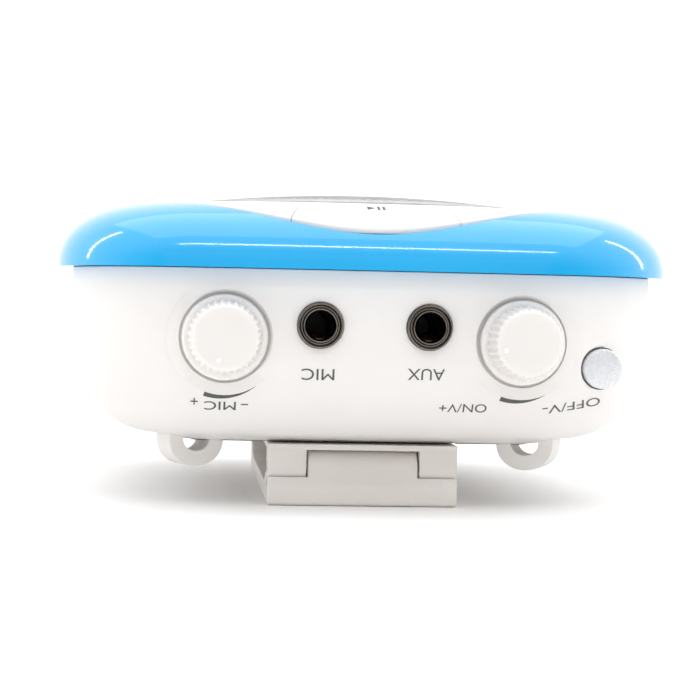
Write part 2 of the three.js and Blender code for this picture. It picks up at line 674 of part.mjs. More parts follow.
// ---- belt clip ----
function clipBracket() {
  const top = CASE_BACK_Z - 0.05;
  const endY = CLIP_NEAR_Y + BRACKET_LENGTH;
  let bracket = boxBetween([-CLIP_HALF_WIDTH, CLIP_NEAR_Y, BRACKET_UNDER_Z], [CLIP_HALF_WIDTH, endY, top]);
  for (const side of [-1, 1]) {
    const xs = [side * (KNUCKLE_HALF_WIDTH + 0.2), side * CLIP_HALF_WIDTH].sort((a, b) => a - b);
    const nearY = CLIP_NEAR_Y;
    const ear = boxBetween([xs[0], nearY, CLIP_AXIS_Z], [xs[1], nearY + 2 * EAR_RADIUS, BRACKET_UNDER_Z + 0.4]);
    bracket = join(bracket, ear, crosswiseCylinder(EAR_RADIUS, CLIP_AXIS_Y, CLIP_AXIS_Z, ...xs));
    const screwY = endY - 3.5;
    bracket = cut(bracket, uprightCylinder(SCREW_RADIUS + FIT, side * BRACKET_SCREW_X, screwY, 0, 20, COARSE));
  }
  const bore = crosswiseCylinder(PIN_RADIUS + FIT, CLIP_AXIS_Y, CLIP_AXIS_Z, -20, 20, COARSE);
  return cut(bracket, bore);
}

function clipLever() {
  const near = CLIP_NEAR_Y;
  const tip = near + LEVER_LENGTH;
  const shape = new THREE.Shape();
  shape.moveTo(near, 0.5);
  shape.quadraticCurveTo(near, 0, near + 0.8, 0);
  shape.lineTo(tip - 4, 0);
  shape.bezierCurveTo(tip - 0.5, 0, tip + 1.5, 2.5, tip, 5.6);
  shape.quadraticCurveTo(tip - 1.2, 8, tip - 2.6, 6.8);
  shape.bezierCurveTo(tip - 3, 4.5, tip - 4.5, LEVER_THICK, tip - 7.5, LEVER_THICK);
  shape.lineTo(near + 12, LEVER_THICK);
  shape.lineTo(near + 8, LEVER_HINGE_THICK);
  shape.lineTo(near, LEVER_HINGE_THICK);
  const geometry = new THREE.ExtrudeGeometry(shape, {
    depth: 2 * CLIP_HALF_WIDTH, bevelEnabled: false, curveSegments: 8,
  });
  geometry.rotateX(Math.PI / 2);
  geometry.rotateZ(Math.PI / 2);
  geometry.translate(-CLIP_HALF_WIDTH, 0, 0);
  let lever = solid(geometry);
  for (const side of [-1, 1]) {
    const xs = [side * (KNUCKLE_HALF_WIDTH - 0.1), side * 20].sort((a, b) => a - b);
    lever = cut(lever, crosswiseCylinder(EAR_RADIUS + GAP, CLIP_AXIS_Y, CLIP_AXIS_Z, ...xs));
  }
  const half = KNUCKLE_HALF_WIDTH - 0.1;
  const front = boxBetween([-half, near, 1.5], [half, CLIP_AXIS_Y + 2, CLIP_AXIS_Z]);
  const barrel = crosswiseCylinder(BRACKET_UNDER_Z - CLIP_AXIS_Z - 0.12, CLIP_AXIS_Y, CLIP_AXIS_Z, -half, half);
  lever = join(lever, front, barrel);
  const bore = crosswiseCylinder(PIN_RADIUS + FIT, CLIP_AXIS_Y, CLIP_AXIS_Z, -20, 20, COARSE);
  const coilRoom = SPRING_COIL_RADIUS + SPRING_WIRE_RADIUS + 0.25;
  const pocket = crosswiseCylinder(coilRoom, CLIP_AXIS_Y, CLIP_AXIS_Z, -3, 3, COARSE);
  const slot = boxBetween([-3, CLIP_AXIS_Y, CLIP_AXIS_Z - coilRoom], [3, CLIP_AXIS_Y + 12, 9]);
  return cut(lever, bore, pocket, slot);
}

function hingePin() {
  const half = CLIP_HALF_WIDTH - 0.4;
  return crosswiseCylinder(PIN_RADIUS, CLIP_AXIS_Y, CLIP_AXIS_Z, -half, half, COARSE);
}

// Torsion spring round the pin, one leg lying along the lever.
function clipSpring() {
  class Coil extends THREE.Curve {
    getPoint(t) {
      const angle = t * SPRING_TURNS * 2 * Math.PI + Math.PI / 2;
      const x = -2.4 + t * 4.8;
      const y = CLIP_AXIS_Y + SPRING_COIL_RADIUS * Math.cos(angle);
      return new THREE.Vector3(x, y, CLIP_AXIS_Z + SPRING_COIL_RADIUS * Math.sin(angle));
    }
  }
  const section = new THREE.Shape();
  section.absarc(0, 0, SPRING_WIRE_RADIUS, 0, 2 * Math.PI);
  const steps = SPRING_TURNS * 9;
  const options = { steps, extrudePath: new Coil(), bevelEnabled: false, curveSegments: 5 };
  return solid(new THREE.ExtrudeGeometry(section, options));
}

// ---- strap lugs ----
function strapLug(side) {
  const shape = new THREE.Shape();
  const arch = LUG_HALF_WIDTH;
  const top = LUG_BOTTOM_Z + 6;
  shape.moveTo(-arch, top);
  shape.lineTo(-arch, LUG_BOTTOM_Z + 3.2);
  shape.bezierCurveTo(-arch, LUG_BOTTOM_Z + 1, -1.8, LUG_BOTTOM_Z, 0, LUG_BOTTOM_Z);
  shape.bezierCurveTo(1.8, LUG_BOTTOM_Z, arch, LUG_BOTTOM_Z + 1, arch, LUG_BOTTOM_Z + 3.2);
  shape.lineTo(arch, top);
  const hole = new THREE.Path();
  const inside = arch - LUG_WALL;
  hole.moveTo(-inside, top - 1);
  hole.lineTo(-inside, LUG_BOTTOM_Z + 3.2);
  hole.bezierCurveTo(-inside, LUG_BOTTOM_Z + 1.9, -1, LUG_BOTTOM_Z + LUG_WALL, 0, LUG_BOTTOM_Z + LUG_WALL);
  hole.bezierCurveTo(1, LUG_BOTTOM_Z + LUG_WALL, inside, LUG_BOTTOM_Z + 1.9, inside, LUG_BOTTOM_Z + 3.2);
  hole.lineTo(inside, top - 1);
  const geometry = new THREE.ExtrudeGeometry(shape, { depth: LUG_DEPTH, bevelEnabled: false, curveSegments: 8 });
  const holeShape = new THREE.Shape(hole.getPoints(8));
  const slot = new THREE.ExtrudeGeometry(holeShape, { depth: LUG_DEPTH + 2, bevelEnabled: false });
  slot.translate(0, 0, -1);
  for (const part of [geometry, slot]) {
    part.translate(0, 0, -LUG_DEPTH / 2);
    part.rotateX(Math.PI / 2);
    part.rotateZ(-side * LUG_TURN);
    part.translate(side * LUG_X, LUG_Y, 0);
  }
  return cut(solid(geometry), solid(slot), caseForm(-GAP, PARTING_Z));
}

// ---- screws ----
function screw(x, y, seatZ, length, headRadius, headHeight) {
  const head = uprightCylinder(headRadius, x, y, seatZ - headHeight, seatZ - 0.03, COARSE);
  const shank = uprightCylinder(SCREW_RADIUS - 0.05, x, y, seatZ - 0.1, seatZ + length, COARSE);
  const slotTool = boxBetween([x - 0.25, y - headRadius, 0], [x + 0.25, y + headRadius, seatZ - headHeight + 0.5]);
  const crossTool = boxBetween([x - headRadius, y - 0.25, 0], [x + headRadius, y + 0.25, seatZ - headHeight + 0.5]);
  const core = uprightCylinder(headRadius * 0.6, x, y, 0, seatZ, COARSE);
  return cut(join(head, shank), join(slotTool, crossTool).intersect(core));
}

function boardScrew(side) {
  const [x, y] = [side * BOARD_SCREW[0], BOARD_SCREW[1]];
  const head = uprightCylinder(2.1, x, y, BOARD_TOP_Z + 0.05, BOARD_TOP_Z + 1.5, COARSE);
  return join(head, uprightCylinder(SCREW_RADIUS - 0.05, x, y, CASE_BACK_Z + WALL + 1, BOARD_TOP_Z + 0.2, COARSE));
}

// ---- finishes ----
const FINISHES = {
  blueGloss: { color: 0x1fb4ee, roughness: 0.16, metalness: 0 },
  whiteShell: { color: 0xf3f0ed, roughness: 0.38, metalness: 0 },
  whiteKnob: { color: 0xf4efe9, roughness: 0.45, metalness: 0 },
  clipPlastic: { color: 0xe6e2dc, roughness: 0.5, metalness: 0 },
  silverMesh: { color: 0xb4b6b9, roughness: 0.35, metalness: 1 },
  nickel: { color: 0x8c8781, roughness: 0.22, metalness: 1 },
  chrome: { color: 0xd6d7d9, roughness: 0.12, metalness: 1 },
  steel: { color: 0xa6a8ab, roughness: 0.35, metalness: 1 },
  blackPlastic: { color: 0x1c1c1e, roughness: 0.5, metalness: 0 },
  smokedLens: { color: 0x101317, roughness: 0.08, metalness: 0 },
  circuitBoard: { color: 0x1d6b3a, roughness: 0.45, metalness: 0 },
  conePaper: { color: 0x2a2a2c, roughness: 0.85, metalness: 0 },
  magnetSteel: { color: 0x77797c, roughness: 0.4, metalness: 1 },
  cellWrap: { color: 0x2c5fa8, roughness: 0.35, metalness: 0 },
  lightPipe: { color: 0xd9efe2, roughness: 0.2, metalness: 0 },
};

function named(name, manifold, finish) {
  const mesh = new THREE.Mesh(geometryOf(manifold), new THREE.MeshStandardMaterial(FINISHES[finish]));
  mesh.name = name;
  return mesh;
}

// ---- assembly ----
function housing() {
  const group = new THREE.Group();
  group.add(named('rear_case', rearCase(), 'whiteShell'));
  group.add(named('front_cover', frontCover(), 'blueGloss'));
  group.add(named('control_ring', controlRing(), 'whiteShell'));
  group.add(named('speaker_grille', speakerGrille(), 'silverMesh'));
  group.add(named('display_window', displayWindow(), 'smokedLens'));
  group.add(named('status_light', statusLight(), 'lightPipe'));
  group.add(named('strap_lug_left', strapLug(-1), 'whiteShell'));
  group.add(named('strap_lug_right', strapLug(1), 'whiteShell'));
  caseScrewPlaces().forEach(([x, y], index) => {
    const made = screw(x, y, SCREW_SEAT_Z, 13, SCREW_HEAD_RADIUS, 1.5);
    group.add(named(`case_screw_${index + 1}`, made, 'steel'));
  });
  return group;
}

function works() {
  const group = new THREE.Group();
  group.add(named('speaker_frame', speakerFrame(), 'steel'));
  group.add(named('speaker_cone', speakerCone(), 'conePaper'));
  group.add(named('speaker_magnet', speakerMagnet(), 'magnetSteel'));
  group.add(named('main_board', mainBoard(), 'circuitBoard'));
  group.add(named('key_board', keyBoard(), 'circuitBoard'));
  group.add(named('power_board', powerBoard(), 'circuitBoard'));
  group.add(named('display_module', displayModule(), 'blackPlastic'));
  group.add(named('battery_cell', batteryCell(), 'cellWrap'));
  group.add(named('charge_socket', chargeSocket(), 'nickel'));
  for (let index = 0; index < KEY_COUNT; index += 1) {
    group.add(named(`key_switch_${index + 1}`, keySwitch(index), 'blackPlastic'));
  }
  for (const [side, place] of [[-1, 'left'], [1, 'right']]) {
    group.add(named(`board_screw_${place}`, boardScrew(side), 'steel'));
  }
  return group;
}

function controls() {
  const group = new THREE.Group();
  const pairs = [[-1, 'mic'], [1, 'power']];
  for (const [side, use] of pairs) {
    group.add(named(`${use}_knob`, knob(side * KNOB_X), 'whiteKnob'));
    group.add(named(`${use}_shaft`, shaft(side * KNOB_X), 'steel'));
    group.add(named(`${use}_pot_body`, potBody(side * KNOB_X), 'blackPlastic'));
  }
  for (const [side, use] of [[-1, 'mic'], [1, 'aux']]) {
    group.add(named(`${use}_jack_ferrule`, jackFerrule(side * JACK_X), 'nickel'));
    group.add(named(`${use}_jack_body`, jackBody(side * JACK_X), 'blackPlastic'));
  }
  const uses = ['play', 'next', 'mode', 'previous'];
  uses.forEach((use, index) => {
    group.add(named(`${use}_key`, ringKey(index), 'whiteShell'));
  });
  return group;
}

function aerial() {
  const group = new THREE.Group();
  group.add(named('aerial_sleeve', aerialTube(0), 'chrome'));
  for (let index = 1; index <= AERIAL_TUBES; index += 1) {
    group.add(named(`aerial_tube_${index}`, aerialTube(index), 'chrome'));
  }
  group.add(named('aerial_rod', join(aerialRod(), aerialCap()), 'chrome'));
  return group;
}

function beltClip() {
  const group = new THREE.Group();
  group.add(named('clip_bracket', clipBracket(), 'clipPlastic'));
  group.add(named('clip_lever', clipLever(), 'clipPlastic'));
  group.add(named('hinge_pin', hingePin(), 'steel'));
  group.add(named('clip_spring', clipSpring(), 'steel'));
  const screwY = CLIP_NEAR_Y + BRACKET_LENGTH - 3.5;
  for (const [side, place] of [[-1, 'left'], [1, 'right']]) {
    const made = screw(side * BRACKET_SCREW_X, screwY, BRACKET_UNDER_Z, 4.4, 2, 1.1);
    group.add(named(`bracket_screw_${place}`, made, 'steel'));
  }
  return group;
}

const amplifier = new THREE.Group();
amplifier.add(housing(), works(), controls(), aerial(), beltClip());
export default amplifier;
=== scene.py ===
"""Looks of a belt-worn voice amplifier: gloss cover, white case, controls, aerial and belt clip."""
from __future__ import annotations

import logging
import math
from dataclasses import dataclass
from enum import Enum
from typing import Callable, Sequence

import bmesh
import bpy
from bmesh.types import BMEdge, BMesh, BMVert
from bpy.types import Material, Node, NodeSocket, NodeTree, Object
from mathutils import Matrix, Vector


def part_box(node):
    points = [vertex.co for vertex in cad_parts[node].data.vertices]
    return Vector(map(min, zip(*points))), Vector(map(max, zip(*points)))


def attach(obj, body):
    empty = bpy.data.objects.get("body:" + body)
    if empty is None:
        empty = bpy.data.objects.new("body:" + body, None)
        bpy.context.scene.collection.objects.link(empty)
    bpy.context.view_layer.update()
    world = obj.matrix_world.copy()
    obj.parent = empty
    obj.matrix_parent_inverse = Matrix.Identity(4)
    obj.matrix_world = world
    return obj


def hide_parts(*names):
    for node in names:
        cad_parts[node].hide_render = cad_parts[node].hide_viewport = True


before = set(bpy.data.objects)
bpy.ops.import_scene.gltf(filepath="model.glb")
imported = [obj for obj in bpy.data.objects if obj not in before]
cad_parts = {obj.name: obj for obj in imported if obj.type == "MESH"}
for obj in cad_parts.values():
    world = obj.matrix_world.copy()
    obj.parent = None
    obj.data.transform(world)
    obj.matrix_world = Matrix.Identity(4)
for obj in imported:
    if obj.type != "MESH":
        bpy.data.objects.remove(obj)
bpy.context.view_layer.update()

LOG = logging.getLogger("amplifier")
MM = 0.001
SHARP_ANGLE = math.radians(30)
ON_SURFACE = 0.03  # mm that printed marks stand off a surface
WELD = 1e-6  # mm within which a turned piece's points are one
SAME_POINT = 1e-4  # mm within which an outline's points are one

Pairs = Sequence[tuple[float, float]]
Triple = tuple[float, float, float]
Colour = Triple


class Body(Enum):
    """Rigid bodies that pieces ride on."""

    HOUSING = "housing"
    MIC = "mic_control"
    POWER = "power_control"
    PLAY = "play_button"
    NEXT = "next_button"
    MODE = "mode_button"
    PREVIOUS = "previous_button"
    AERIAL_FIRST = "aerial_first"
    AERIAL_SECOND = "aerial_second"
    AERIAL_THIRD = "aerial_third"
    AERIAL_TIP = "aerial_tip"
    LEVER = "belt_lever"


class Slot(Enum):
    """Material slots of the record."""

    BLUE = "blue_shell"
    WHITE = "white_shell"
    KNOB = "white_knob"
    CLIP = "clip_plastic"
    MESH = "silver_mesh"
    LENS = "smoked_lens"
    LIGHT = "light_pipe"
    STEEL = "steel"
    NICKEL = "nickel"
    AERIAL = "aerial_chrome"
    BLACK = "black_plastic"
    BOARD = "circuit_board"
    CONE = "cone_paper"
    MAGNET = "magnet_steel"
    CELL = "cell_wrap"


# ---------------------------------------------------------------------------
# Places taken from the frame, in millimetres
# ---------------------------------------------------------------------------
def low(node: str) -> Vector:
    """Lowest corner of a frame node."""
    return Vector(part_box(node)[0]) / MM


def high(node: str) -> Vector:
    """Highest corner of a frame node."""
    return Vector(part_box(node)[1]) / MM


def middle(node: str) -> Vector:
    """Middle of a frame node's box."""
    return (low(node) + high(node)) / 2


END_Y = low("rear_case").y  # outside face of the knob end


# ---------------------------------------------------------------------------
# Mesh tools
# ---------------------------------------------------------------------------
def loop_of(mesh: BMesh, points: Sequence[Vector]) -> list[BMVert]:
    """Closed loop through points.

    Args:
        mesh: the mesh that the loop joins.
        points: the loop's corners in order.

    Returns:
        The loop's verts in order.
    """
    made = bmesh.ops.create_circle(mesh, cap_ends=False, radius=1.0, segments=len(points))
    for vert, point in zip(made["verts"], points):
        vert.co = point
    return made["verts"]


def loop_edges(mesh: BMesh, verts: Sequence[BMVert]) -> list[BMEdge]:
    """Edges between neighbouring verts of a closed loop."""
    return [mesh.edges.get((verts[i - 1], verts[i])) for i in range(len(verts))]


def verts_in(items: Sequence[object]) -> list[BMVert]:
    """The verts among an operator's results."""
    return [item for item in items if isinstance(item, BMVert)]


def edges_in(items: Sequence[object]) -> list[BMEdge]:
    """The edges among an operator's results."""
    return [item for item in items if isinstance(item, BMEdge)]


def face_out(mesh: BMesh) -> BMesh:
    """The mesh with every face turned outwards."""
    bmesh.ops.recalc_face_normals(mesh, faces=mesh.faces)
    return mesh


def cap(mesh: BMesh, edges: Sequence[BMEdge]) -> None:
    """Closes the holes that edges run round."""
    bmesh.ops.holes_fill(mesh, edges=edges, sides=0)


def skin_rows(
    mesh: BMesh, rows: Sequence[Sequence[Vector]], closed: bool = False
) -> tuple[list[BMEdge], list[BMEdge]]:
    """Skin through loops of points, each loop extruded from the one before.

    Args:
        mesh: the mesh that the skin joins.
        rows: the loops, all of one length.
        closed: whether the last loop joins the first.

    Returns:
        The edges of the first and of the last loop.
    """
    first = loop_of(mesh, rows[0])
    verts = first
    for row in rows[1:]:
        fresh = set(verts_in(bmesh.ops.extrude_edge_only(mesh, edges=loop_edges(mesh, verts))["geom"]))
        verts = [next(e.other_vert(v) for e in v.link_edges if e.other_vert(v) in fresh) for v in verts]
        for vert, point in zip(verts, row):
            vert.co = point
    ends = loop_edges(mesh, first), loop_edges(mesh, verts)
    if closed:
        bmesh.ops.bridge_loops(mesh, edges=ends[0] + ends[1])
    return ends


def loft(rows: Sequence[Sequence[Vector]], closed: bool = False) -> BMesh:
    """Solid through loops of points, closed on itself or capped at both ends."""
    mesh = bmesh.new()
    first, last = skin_rows(mesh, rows, closed)
    if not closed:
        cap(mesh, first + last)
    return face_out(mesh)


def fill_down(mesh: BMesh, base: float) -> None:
    """Turns an open sheet into a solid with a level floor."""
    rim = [edge for edge in mesh.edges if edge.is_boundary]
    made = bmesh.ops.extrude_edge_only(mesh, edges=rim)["geom"]
    for vert in verts_in(made):
        vert.co.z = base
    cap(mesh, edges_in(made))


def circle_points(
    radius: float, height: float, segments: int, ripple: Callable[[float], float] | None = None
) -> list[Vector]:
    """Points of a level circle about the Z axis.

    Args:
        radius: the circle's radius.
        height: its Z.
        segments: how many points it has.
        ripple: change of radius at an angle, or None.

    Returns:
        The points.
    """
    points = []
    for i in range(segments):
        angle = 2 * math.pi * i / segments
        reach = radius + (ripple(angle) if ripple else 0.0)
        points.append(Vector((reach * math.cos(angle), reach * math.sin(angle), height)))
    return points


def arc(
    cx: float, cy: float, radius: float, start: float, end: float, steps: int
) -> list[tuple[float, float]]:
    """Points of an arc, both ends included.

    Args:
        cx: centre's first coordinate.
        cy: centre's second coordinate.
        radius: the arc's radius.
        start: its first angle in degrees.
        end: its last angle in degrees.
        steps: how many chords it has.

    Returns:
        The points.
    """
    angles = [math.radians(start + (end - start) * i / steps) for i in range(steps + 1)]
    return [(cx + radius * math.cos(angle), cy + radius * math.sin(angle)) for angle in angles]


def turned(profile: Pairs, segments: int = 96, closed: bool = False) -> BMesh:
    """Turned solid about the Z axis.

    Args:
        profile: radius and height pairs; an open profile's flat ends are capped.
        segments: facets round the axis.
        closed: whether the profile runs round a bore and meets itself.

    Returns:
        The mesh.
    """
    mesh = bmesh.new()
    verts = [mesh.verts.new((radius, 0.0, height)) for radius, height in profile]
    pairs = list(zip(verts, verts[1:])) + ([(verts[-1], verts[0])] if closed else [])
    edges = [mesh.edges.new(pair) for pair in pairs]
    bmesh.ops.spin(mesh, geom=verts + edges, cent=(0, 0, 0), axis=(0, 0, 1), angle=2 * math.pi,
                   steps=segments, use_merge=True)
    bmesh.ops.remove_doubles(mesh, verts=mesh.verts, dist=WELD)
    cap(mesh, [edge for edge in mesh.edges if edge.is_boundary])
    return face_out(mesh)


def bar(radius: float, start: float, end: float, segments: int = 48) -> BMesh:
    """Plain round bar along the Z axis, from one height to another."""
    return turned([(0, start), (radius, start), (radius, end), (0, end)], segments)


def prism(outline: Sequence[Vector], depth: Vector) -> BMesh:
    """Flat outline drawn out along a vector into a closed solid."""
    mesh = bmesh.new()
    kept = [point for i, point in enumerate(outline) if (point - outline[i - 1]).length > SAME_POINT]
    verts = loop_of(mesh, kept)
    face = bmesh.ops.edgeloop_fill(mesh, edges=loop_edges(mesh, verts))["faces"]
    made = bmesh.ops.extrude_face_region(mesh, geom=face)["geom"]
    bmesh.ops.translate(mesh, verts=verts_in(made), vec=depth)
    return face_out(mesh)


def bevel(mesh: BMesh, edges: Sequence[BMEdge], width: float, segments: int, clamp: bool) -> BMesh:
    """Rounds edges and gives back the same mesh."""
    bmesh.ops.bevel(
        mesh, geom=list(edges), offset=width, offset_type="OFFSET", affect="EDGES", segments=segments,
        profile=0.5, material=-1, clamp_overlap=clamp,
    )
    return mesh


def soften(mesh: BMesh, width: float, segments: int = 3, sharper_than: float = 35) -> BMesh:
    """Rounds every edge that turns by more than an angle.

    Args:
        mesh: the solid.
        width: the round's width.
        segments: facets across it.
        sharper_than: the least angle between faces, in degrees.

    Returns:
        The same mesh.
    """
    limit = math.radians(sharper_than)
    edges = [e for e in mesh.edges if len(e.link_faces) == 2 and e.calc_face_angle() > limit]
    return bevel(mesh, edges, width, segments, True)


def round_ends(mesh: BMesh, width: float, segments: int = 3) -> BMesh:
    """Rounds the edges round a prism's two end faces."""
    edges = {edge for face in mesh.faces if len(face.verts) > 4 for edge in face.edges}
    return bevel(mesh, edges, width, segments, False)


def placed(mesh: BMesh, matrix: Matrix) -> BMesh:
    """The mesh after a transform."""
    bmesh.ops.transform(mesh, matrix=matrix, verts=mesh.verts)
    return mesh


def merged(*meshes: BMesh) -> BMesh:
    """One mesh holding all of them; the others are freed."""
    total = meshes[0]
    for other in meshes[1:]:
        spare = bpy.data.meshes.new("spare")
        other.to_mesh(spare)
        other.free()
        total.from_mesh(spare)
        bpy.data.meshes.remove(spare)
    return total


def lengthwise(x: float, z: float) -> Matrix:
    """Lays a turned piece along Y at x, z, its +Z pointing out of the knob end."""
    return Matrix.Translation((x, 0, z)) @ Matrix.Rotation(math.radians(90), 4, "X")


def upright(x: float, y: float, z: float = 0.0) -> Matrix:
    """Stands a turned piece at a place."""
    return Matrix.Translation((x, y, z))


def crosswise(y: float, z: float) -> Matrix:
    """Lays a turned piece along X at y, z."""
    return Matrix.Translation((0, y, z)) @ Matrix.Rotation(math.radians(90), 4, "Y")


def object_of(name: str, mesh: BMesh) -> Object:
    """Turns a mesh in millimetres into an object in metres at the origin."""
    bmesh.ops.scale(mesh, vec=(MM, MM, MM), verts=mesh.verts)
    data = bpy.data.meshes.new(name)
    mesh.to_mesh(data)
    mesh.free()
    made = bpy.data.objects.new(name, data)
    bpy.context.scene.collection.objects.link(made)
    return made


def boolean(target: Object, meshes: Sequence[BMesh], kind: str = "DIFFERENCE") -> None:
    """Cuts meshes out of a piece, or joins them to it, and keeps the result as its mesh.

    Args:
        target: the piece.
        meshes: closed solids in millimetres.
        kind: the Boolean modifier's operation.
    """
    tools = [object_of("tool", mesh) for mesh in meshes]
    for tool in tools:
        change = target.modifiers.new("cut", "BOOLEAN")
        change.operation = kind
        change.solver = "EXACT"
        change.object = tool
    evaluated = target.evaluated_get(bpy.context.evaluated_depsgraph_get())
    result = bpy.data.meshes.new_from_object(evaluated)
    target.modifiers.clear()
    former = target.data
    target.data = result
    result.name = target.name
    bpy.data.meshes.remove(former)
    for tool in tools:
        spare = tool.data
        bpy.data.objects.remove(tool)
        bpy.data.meshes.remove(spare)


def shade(piece: Object) -> None:
    """Smooth shading that breaks at sharp edges."""
    mesh = bmesh.new()
    mesh.from_mesh(piece.data)
    for face in mesh.faces:
        face.smooth = True
    for edge in mesh.edges:
        edge.smooth = len(edge.link_faces) != 2 or edge.calc_face_angle() < SHARP_ANGLE
    mesh.to_mesh(piece.data)
    mesh.free()


# ---------------------------------------------------------------------------
# Shader node groups
# ---------------------------------------------------------------------------
class Graph:
    """Adds and links nodes in one tree."""

    def __init__(self, tree: NodeTree) -> None:
        """Keeps the tree."""
        self.tree = tree

    def add(self, kind: str, settings: dict | None = None, **inputs: object) -> Node:
        """Adds a node.

        Args:
            kind: the node's type without the word Shader, such as NodeBump.
            settings: attributes of the node itself.
            **inputs: values or sockets for its inputs, by name with _ for a space, or i0, i1 for a place.

        Returns:
            The node.
        """
        plain = kind in ("NodeGroupInput", "NodeGroupOutput")
        node = self.tree.nodes.new(kind if plain else "Shader" + kind)
        for key, value in (settings or {}).items():
            setattr(node, key, value)
        return self.feed(node, **inputs)

    def feed(self, node: Node, **inputs: object) -> Node:
        """Sets or links inputs of a node, named as for add, and gives back the node."""
        for key, value in inputs.items():
            spot = int(key[1:]) if key[0] == "i" and key[1:].isdigit() else key.replace("_", " ")
            if isinstance(value, NodeSocket):
                self.tree.links.new(value, node.inputs[spot])
            else:
                node.inputs[spot].default_value = value
        return node

    def group(self, tree: NodeTree, **inputs: object) -> Node:
        """Places a node group with its own values."""
        return self.add("NodeGroup", {"node_tree": tree}, **inputs)

    def maths(self, operation: str, *values: object) -> NodeSocket:
        """Result of a Math node."""
        inputs = {f"i{place}": value for place, value in enumerate(values)}
        return self.add("NodeMath", {"operation": operation}, **inputs).outputs[0]

    def ramp(
        self, value: NodeSocket, low_in: float, high_in: float, low_out: float = 0.0, high_out: float = 1.0
    ) -> NodeSocket:
        """Value moved smoothly from one range to another."""
        node = self.add("NodeMapRange", {"interpolation_type": "SMOOTHSTEP"}, Value=value, From_Min=low_in,
                        From_Max=high_in, To_Min=low_out, To_Max=high_out)
        return node.outputs[0]

    def mix(self, factor: object, first: object, second: object) -> NodeSocket:
        """Mix of two colours."""
        return self.add("NodeMix", {"data_type": "RGBA"}, i0=factor, i6=first, i7=second).outputs[2]

    def noise(
        self, scale: object, detail: float, place: NodeSocket | None = None, **inputs: object
    ) -> NodeSocket:
        """Noise on Object coordinates, or on a place that is given."""
        place = place or self.add("NodeTexCoord").outputs["Object"]
        return self.add("NodeTexNoise", Vector=place, Scale=scale, Detail=detail, **inputs).outputs["Fac"]

    def relief(self, shader: Node, height: NodeSocket, depth: float) -> None:
        """Feeds a shader's normal with a bump of a depth in millimetres."""
        bump = self.add("NodeBump", Strength=1.0, Distance=depth * MM, Height=height)
        self.feed(shader, Normal=bump.outputs[0])


def new_group(
    name: str, inputs: Sequence[tuple[str, str]], outputs: Sequence[tuple[str, str]]
) -> tuple[NodeTree, Graph, Node, Node]:
    """Starts a node group.

    Args:
        name: the group's name.
        inputs: name and socket kind of each input.
        outputs: name and socket kind of each output.

    Returns:
        The group tree, its graph, its input node and its output node.
    """
    tree = bpy.data.node_groups.new(name, "ShaderNodeTree")
    for in_out, rows in (("INPUT", inputs), ("OUTPUT", outputs)):
        for title, kind in rows:
            tree.interface.new_socket(title, in_out=in_out, socket_type="NodeSocket" + kind)
    graph = Graph(tree)
    return tree, graph, graph.add("NodeGroupInput"), graph.add("NodeGroupOutput")


